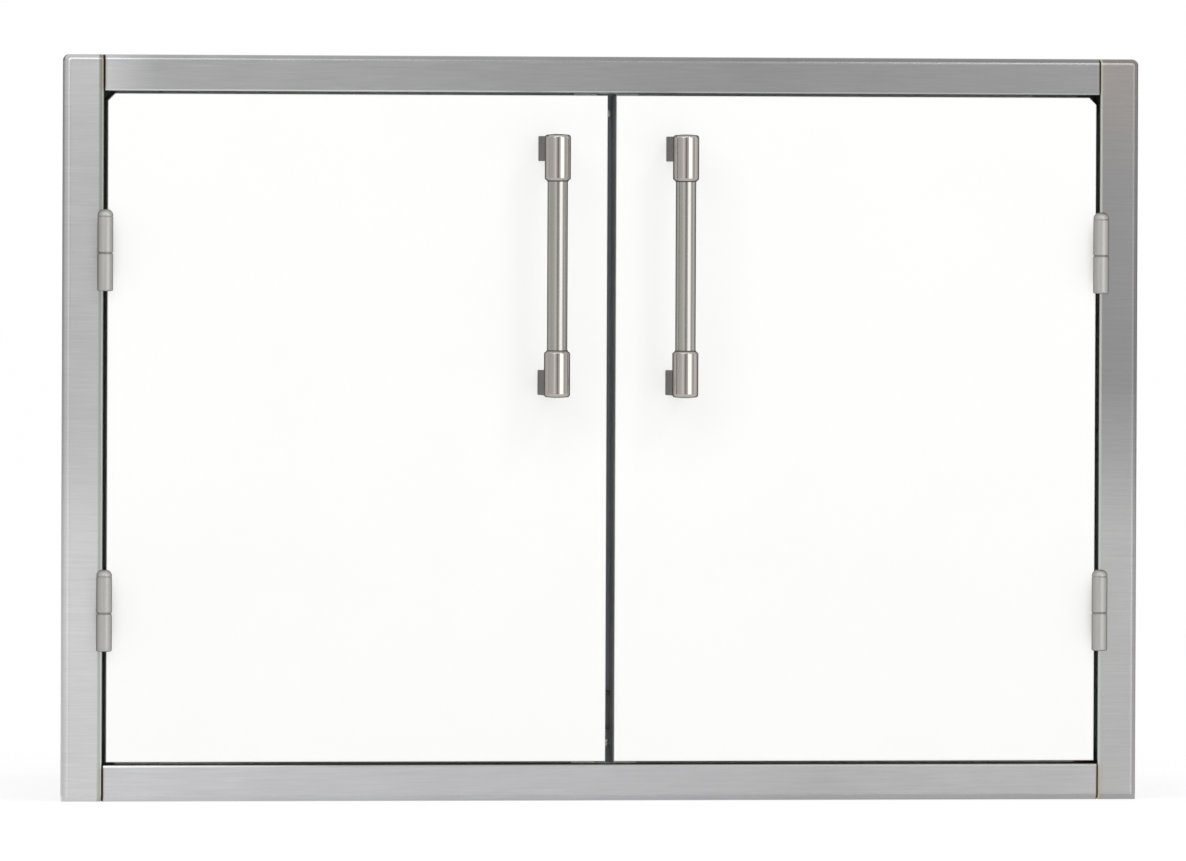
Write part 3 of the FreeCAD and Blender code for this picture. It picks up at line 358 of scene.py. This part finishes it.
def mill_stainless(name, tone, roughness, along):
    """Cold-rolled stainless sheet: cloudy gloss, and faint streaks stretched in the rolling direction."""
    material, tree, place = new_material(name)
    sizes = [ROLLING_LENGTH if axis == along else ROLLING_WIDTH for axis in "XYZ"]
    rolled = add(tree, "ShaderNodeMapping", {"Vector": place, "Scale": sizes}, vector_type="TEXTURE")
    streak = add(tree, "ShaderNodeTexNoise", {"Vector": rolled, "Scale": 1.0})
    cloud = add(tree, "ShaderNodeTexNoise", {"Vector": place, "Scale": 1 / SMUDGE, "Detail": 4.0})
    add(tree, "ShaderNodeOutputMaterial", [add(tree, "ShaderNodeBsdfPrincipled", {
        "Base Color": add(tree, "ShaderNodeMixRGB", [streak, *(linear(tone, share) for share in MILL_TONES)]),
        "Metallic": 1.0,
        "Roughness": add(tree, "ShaderNodeMapRange",
                         [cloud, *NOISE_RANGE, roughness - MILL_GLOSS, roughness + MILL_GLOSS]),
    })], out=None)
    return material


dress(mill_stainless("mill stainless along the depth", MILL_GREY, roughness=0.6, along="Y"),
      "left_panel", "right_panel", "top_panel", "bottom_panel")
dress(mill_stainless("mill stainless across", MILL_GREY, roughness=0.6, along="X"), "back_panel")


# Centre mullion. A folded stainless channel welded between the rails, behind the meeting gap; both
# doors seal on its front. It is the same sheet as the box, rolled along its length.
upright_steel = mill_stainless("mill stainless upright", MILL_GREY, roughness=0.34, along="Z")
dress(upright_steel, "centre_mullion")


# Meeting strip. A slate-grey vinyl strip on the mullion that hides the bright metal behind the gap.
# It is extruded, so it is matt, with a fine even skin.
STRIP_GREY = "#9499A0"
SKIN_TONES = (0.88, 1.12)
SKIN_GLOSS = 0.08


def moulded(name, tone, roughness, grit, depth):
    """A moulded or extruded polymer: nearly even tone with a fine relief of a given grit."""
    material, tree, place = new_material(name)
    pores = add(tree, "ShaderNodeTexNoise", {"Vector": place, "Scale": 1 / grit, "Detail": 3.0})
    cloud = add(tree, "ShaderNodeTexNoise", {"Vector": place, "Scale": 1 / SMUDGE})
    add(tree, "ShaderNodeOutputMaterial", [add(tree, "ShaderNodeBsdfPrincipled", {
        "Base Color": add(tree, "ShaderNodeMixRGB", [cloud, *(linear(tone, share) for share in SKIN_TONES)]),
        "IOR": 1.5,
        "Roughness": add(tree, "ShaderNodeMapRange",
                         [pores, 0.0, 1.0, roughness - SKIN_GLOSS, roughness + SKIN_GLOSS]),
        "Normal": add(tree, "ShaderNodeBump", {"Height": pores, "Strength": 0.3, "Distance": depth}),
    })], out=None)
    return material


dress(moulded("slate vinyl", STRIP_GREY, roughness=0.55, grit=0.8 * MM, depth=0.02 * MM), "meeting_strip")


# Strip screws. Two small round-headed stainless screws that hold the strip to the mullion, cold-headed
# with a cross recess and left bright.
TURN_STEPS = 48
SCREW_TONE = "#C6C5C2"
POLISH_WIDTH = 0.6 * MM
POLISH_TONES = (0.94, 1.06)
POLISH_GLOSS = 0.05
STRIP_SCREW = {"head": 5 * MM, "height": 1.2 * MM, "shank": 3 * MM, "length": 5 * MM}


def turned(profile, steps=TURN_STEPS):
    """Radius and height pairs carried round the upright axis: (r cos t, r sin t, h)."""
    angle = np.linspace(0, 2 * np.pi, steps, endpoint=False)
    r, h = profile[:, :1], profile[:, 1:]
    return np.stack([r * np.cos(angle), r * np.sin(angle), h + 0 * angle], axis=-1)


def screw(head, height, shank, length, way):
    """A screw along Y, its head towards way: a turned profile whose dome is sunk in a cross.

    A point sinks fully within half an arm's width of one axis and within the cross's reach along the
    other, and the sink fades out over a short slope.
    """
    arm, reach, sink, slope = 0.09 * head, 0.28 * head, 0.4 * height, 0.02 * head
    crown = head ** 2 / (4 * height) + height / 4
    r = np.linspace(head / 2, 0.01 * head, 24)
    rise = np.sqrt(crown ** 2 - r ** 2) - np.sqrt(crown ** 2 - head ** 2 / 4)
    dome = np.stack([r, height / 2 + rise * height / 2 / rise[-1]], axis=1)
    under = [(0.02 * shank, -length), (0.4 * shank, -length), (0.5 * shank, -length + 0.1 * shank),
             (0.5 * shank, 0), (head / 2, 0)]
    points = turned(np.concatenate([under, dome]))
    across, along = np.sort(np.abs(points[..., :2]), axis=-1).transpose(2, 0, 1)
    inside = np.clip((arm - across) / slope, 0, 1) * np.clip((reach - along) / slope, 0, 1)
    level = points[..., 2] - sink * inside * (points[..., 2] > 0)
    return np.stack([points[..., 0], way * level, points[..., 1]], axis=-1)


def screw_group(node, sizes, way, columns, rows):
    """Like screws at the even columns and rows of a CAD group's box, seated where its heads sit."""
    low, high = np.array(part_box(node))
    inset = sizes["head"] / 2
    seat = high[1] - sizes["height"] if way > 0 else low[1] + sizes["height"]
    shape = screw(**sizes, way=way)
    return [skin(shape + (x, seat, z))
            for x in np.linspace(low[0] + inset, high[0] - inset, columns)
            for z in np.linspace(low[2] + inset, high[2] - inset, rows)]


def polished_steel(name, tone, roughness, along, rim=1.0):
    """Polished stainless: nearly even tone and gloss, with faint polishing lines along one axis.

    The rim is the share of light that is still mirrored at a glancing angle.
    """
    material, tree, place = new_material(name)
    sizes = [GRAIN_LENGTH if axis == along else POLISH_WIDTH for axis in "XYZ"]
    drawn = add(tree, "ShaderNodeMapping", {"Vector": place, "Scale": sizes}, vector_type="TEXTURE")
    line = add(tree, "ShaderNodeTexNoise", {"Vector": drawn, "Scale": 1.0})
    add(tree, "ShaderNodeOutputMaterial", [add(tree, "ShaderNodeBsdfPrincipled", {
        "Base Color": add(tree, "ShaderNodeMixRGB", [line, *(linear(tone, share) for share in POLISH_TONES)]),
        "Metallic": 1.0,
        "Roughness": add(tree, "ShaderNodeMapRange",
                         [line, 0.0, 1.0, roughness - POLISH_GLOSS, roughness + POLISH_GLOSS]),
        "Specular Tint": (rim, rim, rim, 1.0),
    })], out=None)
    return material


screw_steel = polished_steel("bright screw steel", SCREW_TONE, roughness=0.32, along="X")
new_piece("strip_cross_screws", screw_group("strip_screws", STRIP_SCREW, way=-1, columns=1, rows=2),
          screw_steel, "cabinet", "screw_steel", "strip_screws")


# Magnetic catch. A moulded grey plastic case on the strip with a ferrite magnet pressed into its face;
# it holds both doors at their meeting edges.
CASE_ROUND = 1.2 * MM
MAGNET_ROUND = 0.5 * MM
MAGNET_PROUD = 0.15 * MM
# The front edge's arc stops just short of the corner centres, so that the loops stay apart there
EDGE_DRAW = 0.98
CATCH_GREY = "#484A4D"
FERRITE = "#64625F"


def rounded_loop(width, height, radius, steps=7):
    """Corner centres and outward directions of a rounded rectangle: a loop is centre + radius * direction."""
    quarter = np.repeat(np.arange(4) * 90.0, steps)
    angle = np.radians(quarter + np.tile(np.linspace(0, 90, steps), 4))
    corner = np.sign(np.stack([np.cos(np.radians(quarter + 45)), np.sin(np.radians(quarter + 45))], axis=1))
    centre = corner * (np.array([width, height]) / 2 - radius)
    return centre, np.stack([np.cos(angle), np.sin(angle)], axis=1)


def slab(low, high, radius):
    """A block between two corners, rounded at its upright-to-front edges.

    A rounded rectangle in XZ is carried along -Y and draws in on a quarter arc at the front.
    """
    low, high = np.array(low), np.array(high)
    width, _, height = high - low
    centre, out = rounded_loop(width, height, radius)
    middle = (low + high) / 2
    edge = np.concatenate([[(radius, high[1])], arc((0, low[1] + radius), EDGE_DRAW * radius, 0, -90)])
    loops = centre + edge[:, :1, None] * out
    y = np.broadcast_to(edge[:, 1:], loops.shape[:2])
    return np.stack([middle[0] + loops[..., 0], y, middle[2] + loops[..., 1]], axis=-1)


new_piece("catch_case", [skin(slab(*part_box("magnet_catch"), CASE_ROUND))],
          moulded("grey acetal", CATCH_GREY, roughness=0.42, grit=0.5 * MM, depth=0.01 * MM),
          "cabinet", "catch_plastic", "magnet_catch")
magnet_low, magnet_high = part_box("catch_magnet")
magnet_low.y -= MAGNET_PROUD
new_piece("catch_ferrite", [skin(slab(magnet_low, magnet_high, MAGNET_ROUND))],
          moulded("sintered ferrite", FERRITE, roughness=0.5, grit=0.4 * MM, depth=0.02 * MM),
          "cabinet", "magnet_ferrite", "catch_magnet")


# Shelf and its supports. Four slotted uprights are welded to the box's sides, four bent clips hook into
# them at one level, and a folded stainless shelf with hemmed edges rests on the clips.
SHELF_GREY = "#C2C3C3"
ZINC = "#B4B5B8"
dress(upright_steel, "shelf_standards")
dress(polished_steel("zinc-bright clip steel", ZINC, roughness=0.32, along="X"), "shelf_clips")
dress(brushed_stainless("brushed stainless shelf", "X", (SHELF_GREY,) * 3, turn=45), "shelf")


# Barrel hinges. Each is two turned stainless barrels on one pin: the lower is welded by its leaf to the
# stile, the domed upper to the door, which lifts off. A thin washer runs between them, its dark tone
# painted shade in the joint.
STILE_WIDTH = 28 * MM
HINGE_TONE = "#ADABA7"
HINGE_BEVEL = 0.6 * MM
HINGE_FOOT = 1.2 * MM
HINGE_GROOVE = 0.5 * MM
HINGE_DOME = 4.5 * MM
DOME_FLAT = 1.4 * MM
BORE = 3.05 * MM
BORE_DEPTH = 18.6 * MM
# Turned ends close on a tiny ring round the axis, and a ring next to a bend keeps the shading even
POLE = 0.1 * MM
EVEN = 0.4 * MM
LEAF = 1.0 * MM
LEAF_MARGIN = 3.0 * MM
LEAF_ROUND = 0.25 * MM
# The leaf starts inside the barrel, at this share of its radius behind the axis
LEAF_ROOT = 0.8
PIN_TONE = "#A9A8A6"
# The washers are painted dark for the shade in the joint between the barrels
WASHER_SHADE_TONE = "#8C8A86"


def lower_barrel(radius, length):
    """Radius and height of the lower barrel: a bevelled foot, a bevelled top and a blind bore from above."""
    return np.array([
        (POLE, 0), (radius - HINGE_FOOT, 0), (radius - 0.3 * HINGE_FOOT, 0.3 * HINGE_FOOT),
        (radius, HINGE_FOOT), (radius, HINGE_FOOT + EVEN), (radius, length - HINGE_BEVEL),
        (radius - HINGE_BEVEL, length),
        (BORE, length), (BORE, length - BORE_DEPTH), (POLE, length - BORE_DEPTH),
    ])


def upper_barrel(radius, length):
    """Radius and height of the upper barrel: a bore from below, a ring groove and a bullet-shaped dome.

    The dome is a quarter ellipse from the barrel's radius to a small flat at the top.
    """
    spring = length - HINGE_DOME
    turn = np.linspace(0, np.pi / 2, 14)
    dome = np.stack([DOME_FLAT + (radius - DOME_FLAT) * np.cos(turn), spring + HINGE_DOME * np.sin(turn)],
                    axis=1)
    return np.concatenate([
        [(POLE, BORE_DEPTH), (BORE, BORE_DEPTH), (BORE, 0), (radius - HINGE_BEVEL, 0),
         (radius, HINGE_BEVEL), (radius, spring - 2 * HINGE_GROOVE),
         (radius - HINGE_GROOVE, spring - HINGE_GROOVE)],
        dome, [(POLE, length)],
    ])


def leaf(edge, way, y, z):
    """A hinge leaf: a thin rounded plate against an edge face at x = edge, standing out towards way."""
    centre, out = rounded_loop(LEAF, z[1] - z[0], LEAF_ROUND, 4)
    loop = centre + LEAF_ROUND * out + (edge + way * LEAF / 2, (z[0] + z[1]) / 2)
    return np.stack(np.broadcast_arrays(loop[:, 0], np.array(y)[:, None], loop[:, 1]), axis=-1)


hinge_steel = polished_steel("satin hinge steel", HINGE_TONE, roughness=0.46, along="Z", rim=0.0)
for side, way in (("left", 1), ("right", -1)):
    outer = 0 if side == "left" else 1
    stile_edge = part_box(f"{side}_stile")[outer].x + way * STILE_WIDTH
    door_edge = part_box(f"{side}_door_face")[outer].x
    for level in ("upper", "lower"):
        for half, profile, body, edge in (("lower", lower_barrel, "cabinet", stile_edge),
                                          ("upper", upper_barrel, f"{side}_door", door_edge)):
            node = f"{side}_{level}_hinge_{half}"
            low, high = np.array(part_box(node))
            radius = (high[0] - low[0]) / 2
            axis = np.array([low[0] + radius, low[1] + radius, low[2]])
            barrel = turned(profile(radius, high[2] - low[2])) + axis
            plate = leaf(edge, way if half == "lower" else -way, (axis[1] + LEAF_ROOT * radius, high[1]),
                         (low[2] + LEAF_MARGIN, high[2] - LEAF_MARGIN))
            piece = new_piece(f"{node}_barrel", [skin(barrel), skin(plate)], hinge_steel, body,
                              "hinge_steel", node)
            # The lit door and stile show no shade round the hinges
            piece.visible_diffuse = False
            piece.visible_glossy = False
dress(polished_steel("ground pin steel", PIN_TONE, roughness=0.22, along="Z"), "hinge_pins")
dress(polished_steel("washer steel darkened for shade", WASHER_SHADE_TONE, roughness=0.45, along="X"), "hinge_washers")


# Door faces. Flat steel sheets with softened edges and a clipped upper hinge corner, powder-coated
# white: an even satin coat with a very fine orange-peel skin.
COAT_WHITE = "#F6F6F4"
PEEL = 1.6 * MM
COAT_TONES = (0.985, 1.01)
COAT_ROUGHNESS = (0.34, 0.44)


def powder_coat(name, tone):
    """Sprayed and baked polyester powder: even white, satin, with a fine rolling relief."""
    material, tree, place = new_material(name)
    peel = add(tree, "ShaderNodeTexNoise", {"Vector": place, "Scale": 1 / PEEL})
    cloud = add(tree, "ShaderNodeTexNoise", {"Vector": place, "Scale": 1 / SMUDGE})
    add(tree, "ShaderNodeOutputMaterial", [add(tree, "ShaderNodeBsdfPrincipled", {
        "Base Color": add(tree, "ShaderNodeMixRGB", [cloud, *(linear(tone, share) for share in COAT_TONES)]),
        "IOR": 1.5,
        "Roughness": add(tree, "ShaderNodeMapRange", [peel, 0.0, 1.0, *COAT_ROUGHNESS]),
        "Normal": add(tree, "ShaderNodeBump", {"Height": peel, "Strength": 0.15, "Distance": 0.03 * MM}),
    })], out=None)
    return material


dress(powder_coat("white polyester powder coat", COAT_WHITE), "left_door_face", "right_door_face")


# Door pans and liners. Each door is a folded stainless tray behind the white face, closed at the back
# by a pressed stainless liner with a shallow dish that stiffens it.
PAN_GREY = "#D2D4D3"
LINER_GREY = "#C2C3C3"
dress(mill_stainless("mill stainless door", PAN_GREY, roughness=0.55, along="Z"),
      "left_door_pan", "right_door_pan")
dress(brushed_stainless("brushed stainless liner", "X", (LINER_GREY,) * 3),
      "left_door_liner", "right_door_liner")


# Liner screws. Six pan-head stainless screws on each door, cold-headed with a cross recess and left
# bright; they hold the liner to the pan's lips.
LINER_SCREW = {"head": 7 * MM, "height": 1.8 * MM, "shank": 3.5 * MM, "length": 7 * MM}
for side in ("left", "right"):
    new_piece(f"{side}_liner_cross_screws",
              screw_group(f"{side}_liner_screws", LINER_SCREW, way=1, columns=2, rows=3),
              screw_steel, f"{side}_door", "screw_steel", f"{side}_liner_screws")


# Door gaskets. An extruded rubber bulb seal on a flat foot, bent round the corners and glued to the back
# of each door; it closes on the frame's stops and on the mullion and keeps the box dry.
GASKET_CORNER = 9 * MM
FOOT_WIDTH = 10 * MM
FOOT_HEIGHT = 1.4 * MM
BULB = 3.2 * MM
RUBBER = "#1D1E1F"


def seal(node):
    """A bulb-seal profile carried round a rounded rectangle: corner centre + (radius + offset) * direction.

    The profile is a foot with rounded lips under a bulb that is three quarters of a circle.
    """
    low, high = np.array(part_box(node))
    width, depth, height = high - low
    lip = FOOT_HEIGHT / 2
    half = FOOT_WIDTH / 2
    profile = np.concatenate([
        [(-half + 0.2 * lip, 0)],
        arc((-half + lip, lip), lip, 200, 90, 5),
        arc((0, depth - BULB), BULB, 205, -25, 21),
        arc((half - lip, lip), lip, 90, -20, 5),
        [(half - 0.2 * lip, 0)],
    ])
    centre, out = rounded_loop(width, height, GASKET_CORNER, 9)
    reach = GASKET_CORNER - half + profile[:, :1, None]
    loops = centre + reach * out
    y = np.broadcast_to(low[1] + profile[:, 1:], loops.shape[:2])
    middle = (low + high) / 2
    return np.stack([middle[0] + loops[..., 0], y, middle[2] + loops[..., 1]], axis=-1)


rubber = moulded("black seal rubber", RUBBER, roughness=0.6, grit=0.6 * MM, depth=0.02 * MM)
for side in ("left", "right"):
    new_piece(f"{side}_door_seal", [skin(seal(f"{side}_door_gasket"), ring=True)], rubber,
              f"{side}_door", "gasket_rubber", f"{side}_door_gasket")


# Bar handles. A stainless tube sits in two cast ferrules, all polished to a satin sheen that is a little
# warm. Each ferrule is in one piece with a square post, left dull as it was cast, whose dark grey is painted
# shade for its shaded sides; a screw from inside the door pulls it tight.
HANDLE_TONE = "#AEA9A4"
TUBE_TONE = "#A5A29D"
CAST_AND_SHADE_GREY = "#464441"
NECK_LIP = 0.8 * MM
LIP_ROUND = 0.3 * MM
MOUTH_DEPTH = 0.6 * MM
MOUTH_PLAY = 0.1 * MM
SHOULDER = 1.3 * MM
# Steps in radius and height from the shoulder's edge, which round it off
SHOULDER_EASE = np.array([(-0.25, -0.35), (-0.05, 0), (0, 0.4), (0, 0.8)]) * MM
END_ROUND = 2.0 * MM
END_CROWN = 0.5 * MM
POST_WIDTH = 14 * MM
POST_HEIGHT = 17.5 * MM
POST_INSET = 1.5 * MM
POST_ROUND = 0.6 * MM
POST_FILLET = 1.0 * MM
POST_SINK = 0.3 * MM
POST_STEPS = np.array([0, 0.3, 0.6, 0.9, 1.2, 1.6, 2.1, 2.8, 40]) * MM
FILLET_RUN = 2.5 * MM
# Radius beyond the bar's, and height, of a dark collar that paints the shade at a ferrule's mouth as a dark
# line
SHADE_COLLAR = np.array([(-0.1, 0.5), (-0.1, -0.7), (0.25, -0.7), (0.45, -0.4), (0.45, 0.5)]) * MM


def ferrule(radius, length, bar):
    """Radius and height of a ferrule from the bar outwards: a lip, a sloped shoulder, a crowned end."""
    neck = bar + NECK_LIP
    crown_edge = radius - END_ROUND
    r = np.linspace(crown_edge, 0.02 * radius, 10)[1:]
    crown = np.stack([r, length - END_CROWN * (r / crown_edge) ** 2], axis=1)
    return np.concatenate([
        [(0.02 * radius, MOUTH_DEPTH), (bar + MOUTH_PLAY, MOUTH_DEPTH), (bar + LIP_ROUND, 0)],
        arc((neck - LIP_ROUND, LIP_ROUND), LIP_ROUND, -90, -20, 4),
        SHOULDER_EASE + (radius, SHOULDER),
        [(radius, length - END_CROWN - END_ROUND - EVEN)],
        arc((radius - END_ROUND, length - END_CROWN - END_ROUND), END_ROUND, 0, 90, 9),
        crown,
    ])


def post(radius, door):
    """A post from a ferrule back to the door: a rounded rectangle carried along Y.

    Each point starts just inside the ferrule's round, at the root of radius squared less x squared,
    and the loop swells by a quadratic fillet next to the ferrule.
    """
    centre, out = rounded_loop(POST_WIDTH, POST_HEIGHT, POST_ROUND)
    loop = centre + POST_ROUND * out
    start = np.sqrt(radius ** 2 - np.clip(loop[:, 0], -radius, radius) ** 2) - POST_SINK
    y = np.minimum(start + POST_STEPS[:, None], door)
    swell = POST_FILLET * np.clip(1 - POST_STEPS / FILLET_RUN, 0, 1) ** 2
    loops = centre + (POST_ROUND + swell[:, None, None]) * out
    return np.stack([loops[..., 0], y, loops[..., 1]], axis=-1)


handle_steel = polished_steel("satin handle steel", HANDLE_TONE, roughness=0.11, along="Z", rim=0.0)
tube_steel = polished_steel("satin tube steel", TUBE_TONE, roughness=0.17, along="Z", rim=0.0)
cast_and_shade_steel = dull_metal("cast handle steel with painted shade", CAST_AND_SHADE_GREY, roughness=0.5, grit=0.7 * MM, depth=0.04 * MM)
for side in ("left", "right"):
    bar_low, bar_high = np.array(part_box(f"{side}_handle_bar"))
    bar = (bar_high[0] - bar_low[0]) / 2
    axis = np.array([bar_low[0] + bar, bar_low[1] + bar, 0])
    tube = np.array([(0.02, 0), (1, 0), (1, 1), (0.02, 1)]) * (bar, bar_high[2] - bar_low[2])
    rod = new_piece(f"{side}_handle_tube", [skin(turned(tube, 2 * TURN_STEPS) + axis + (0, 0, bar_low[2]))],
                    tube_steel, f"{side}_door", "handle_steel", f"{side}_handle_bar")
    # The lit door shows no shade round the handles, so tube, ferrules and arms block none of its light
    rod.visible_diffuse = False
    for level, up in (("upper", 1), ("lower", -1)):
        node = f"{side}_handle_{level}_post"
        low, high = np.array(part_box(node))
        radius = (high[0] - low[0]) / 2
        inner_end = axis + (0, 0, low[2] if up > 0 else high[2])
        outer_end = axis + (0, 0, high[2] if up > 0 else low[2])
        barrel = turned(ferrule(radius, high[2] - low[2], bar), 2 * TURN_STEPS) * (1, 1, up) + inner_end
        sleeve = new_piece(f"{side}_handle_{level}_ferrule", [skin(barrel)], handle_steel,
                           f"{side}_door", "handle_steel", node)
        middle = outer_end - (0, 0, up * (POST_INSET + POST_HEIGHT / 2))
        arm = post(radius, high[1] - axis[1]) + middle
        mouth = turned(SHADE_COLLAR + (bar, 0), 2 * TURN_STEPS) * (1, 1, up) + inner_end
        # The arms' and collar's dark grey is painted shade, for the posts' shaded sides and the ferrule's
        # mouth
        dull = new_piece(f"{side}_handle_{level}_arm", [skin(arm), skin(mouth, ring=True)], cast_and_shade_steel,
                         f"{side}_door", "handle_steel", node)
        sleeve.visible_diffuse = False
        dull.visible_diffuse = False
        # Mirrored in the other handle's ferrules, the dull arms would show as dark smudges
        dull.visible_glossy = False
dress(screw_steel, "left_handle_screws", "right_handle_screws")


# Floor, studio wall, lamps and sky: a white floor that keeps a soft shadow, an unseen ring of softboxes
# that the metal mirrors, a long and a short soft lamp in front and above, and even white light all round.
FLOOR_SIZE = 60.0
FLOOR_GLOW = 0.72
FLOOR_TONE = "#9E9E9E"
WALL_RADIUS = 6.0
WALL_TOP = 2.4
# Degrees round from the front, towards +X, and how bright the wall is there
SOFTBOXES = {-180: 0.2, -150: 0.25, -126: 0.45, -105: 0.7, -89: 0.78, -60: 0.82, -48: 0.86, -40: 1.0,
             -34: 1.25, -27: 1.25, -20: 0.9, -12: 0.6, -6: 0.28, -1: 0.34, 4: 0.85, 14: 0.95, 17: 2.7,
             43: 2.7, 48: 1.6, 54: 0.9, 63: 0.65, 72: 0.8, 80: 1.15, 90: 1.3, 97: 0.9, 104: 0.6,
             114: 0.4, 130: 0.25, 150: 0.2}
SKY = 0.81
# Middle of each lamp, its width and its power
LAMPS = {"long softbox": ((-1.1, -2.4, 2.1), 3.2, 15.0), "short softbox": ((1.0, -2.4, 2.1), 0.45, 5.0)}
LAMP_HEIGHT = 1.0


def stage_piece(name, points, material):
    """A part of the set: a sheet over a grid of points, which is no part of the object."""
    index = np.arange(points.shape[0] * points.shape[1]).reshape(points.shape[:2])
    mesh = bpy.data.meshes.new(name)
    mesh.from_pydata(points.reshape(-1, 3), [], cells(index).tolist())
    mesh.materials.append(material)
    piece = bpy.data.objects.new(name, mesh)
    bpy.context.scene.collection.objects.link(piece)
    return piece


paper, tree = new_material("white paper floor")[:2]
matt = add(tree, "ShaderNodeBsdfDiffuse", {"Color": linear(FLOOR_TONE)})
glow = add(tree, "ShaderNodeEmission", {"Strength": FLOOR_GLOW})
add(tree, "ShaderNodeOutputMaterial", [add(tree, "ShaderNodeAddShader", [matt, glow])], out=None)
across, along = np.meshgrid(np.array([-1, 1]) * FLOOR_SIZE / 2, np.array([-1, 1]) * FLOOR_SIZE / 2)
stage_piece("floor", np.stack([across, along, np.full_like(across, cad_box[0].z)], axis=-1), paper)

softbox, tree = new_material("softbox cloth")[:2]
level = add(tree, "ShaderNodeAttribute", out="Fac", attribute_name="level")
add(tree, "ShaderNodeOutputMaterial", [add(tree, "ShaderNodeEmission", {"Strength": level})], out=None)
degrees = np.linspace(-180, 180, 361)
angle = np.radians(degrees)
ring = np.stack([WALL_RADIUS * np.sin(angle), -WALL_RADIUS * np.cos(angle), 0 * angle], axis=-1)
wall = stage_piece("softbox_wall", ring + np.array([[[0, 0, cad_box[0].z]], [[0, 0, WALL_TOP]]]), softbox)
bright = np.interp(degrees, list(SOFTBOXES), list(SOFTBOXES.values()), period=360)
wall.data.attributes.new("level", "FLOAT", "POINT").data.foreach_set("value", np.tile(bright, 2))
for ray in ("camera", "diffuse", "transmission", "volume_scatter", "shadow"):
    setattr(wall, f"visible_{ray}", False)

for name, (middle, width, power) in LAMPS.items():
    lamp = bpy.data.lights.new(name, "AREA")
    lamp.shape = "RECTANGLE"
    lamp.size, lamp.size_y = width, LAMP_HEIGHT
    lamp.energy = power
    softlight = bpy.data.objects.new(name, lamp)
    aim = np.array(middle) - np.array((cad_box[0] + cad_box[1]) / 2)
    sideways = np.cross((0, 1, 0), aim)
    sideways /= np.linalg.norm(sideways)
    aim /= np.linalg.norm(aim)
    turn = np.eye(4)
    turn[:3, :3] = np.stack([sideways, np.cross(aim, sideways), aim], axis=1)
    turn[:3, 3] = middle
    softlight.matrix_world = Matrix(turn.tolist())
    bpy.context.scene.collection.objects.link(softlight)

world = bpy.data.worlds.new("white studio")
world.use_nodes = True
tree = world.node_tree
tree.nodes.clear()
mirrored = [add(tree, "ShaderNodeLightPath", out=f"Is {ray} Ray") for ray in ("Glossy", "Transmission")]
seen = add(tree, "ShaderNodeMath", mirrored, operation="MAXIMUM")
seen = add(tree, "ShaderNodeMath", [seen, add(tree, "ShaderNodeLightPath", out="Is Camera Ray")],
           operation="MAXIMUM")
strength = add(tree, "ShaderNodeMapRange", [seen, 0.0, 1.0, SKY, 1.0])
sky = add(tree, "ShaderNodeBackground", [linear("#FFFFFF"), strength])
add(tree, "ShaderNodeOutputWorld", [sky], out=None)
bpy.context.scene.world = world


# Camera. A long lens a little to the left and just above the middle of the frame, rolled a touch, as
# the photograph was taken; its place was worked out from the frame's edges and the hardware.
PHOTO_WIDTH = 1186
FOCAL_PIXELS = 16604.7
SENSOR = 36.0
AZIMUTH, ELEVATION, ROLL = np.radians([-9.4, 0.965, 0.233])
DISTANCE = 11.631
TARGET = np.array([-0.005685, 0, 0.236179])

back = np.array([np.sin(AZIMUTH) * np.cos(ELEVATION), -np.cos(AZIMUTH) * np.cos(ELEVATION),
                 np.sin(ELEVATION)])
level = np.array([np.cos(AZIMUTH), np.sin(AZIMUTH), 0])
upright = np.cross(back, level)
pose = np.eye(4)
pose[:3, 0] = level * np.cos(ROLL) + upright * np.sin(ROLL)
pose[:3, 1] = upright * np.cos(ROLL) - level * np.sin(ROLL)
pose[:3, 2] = back
pose[:3, 3] = TARGET + back * DISTANCE
lens = bpy.data.cameras.new("camera")
lens.sensor_fit = "HORIZONTAL"
lens.sensor_width = SENSOR
lens.lens = FOCAL_PIXELS * SENSOR / PHOTO_WIDTH
lens.clip_end = 100.0
camera = bpy.data.objects.new("camera", lens)
camera.matrix_world = Matrix(pose.tolist())
bpy.context.scene.collection.objects.link(camera)
bpy.context.scene.camera = camera
bpy.context.scene.view_settings.view_transform = "Standard"
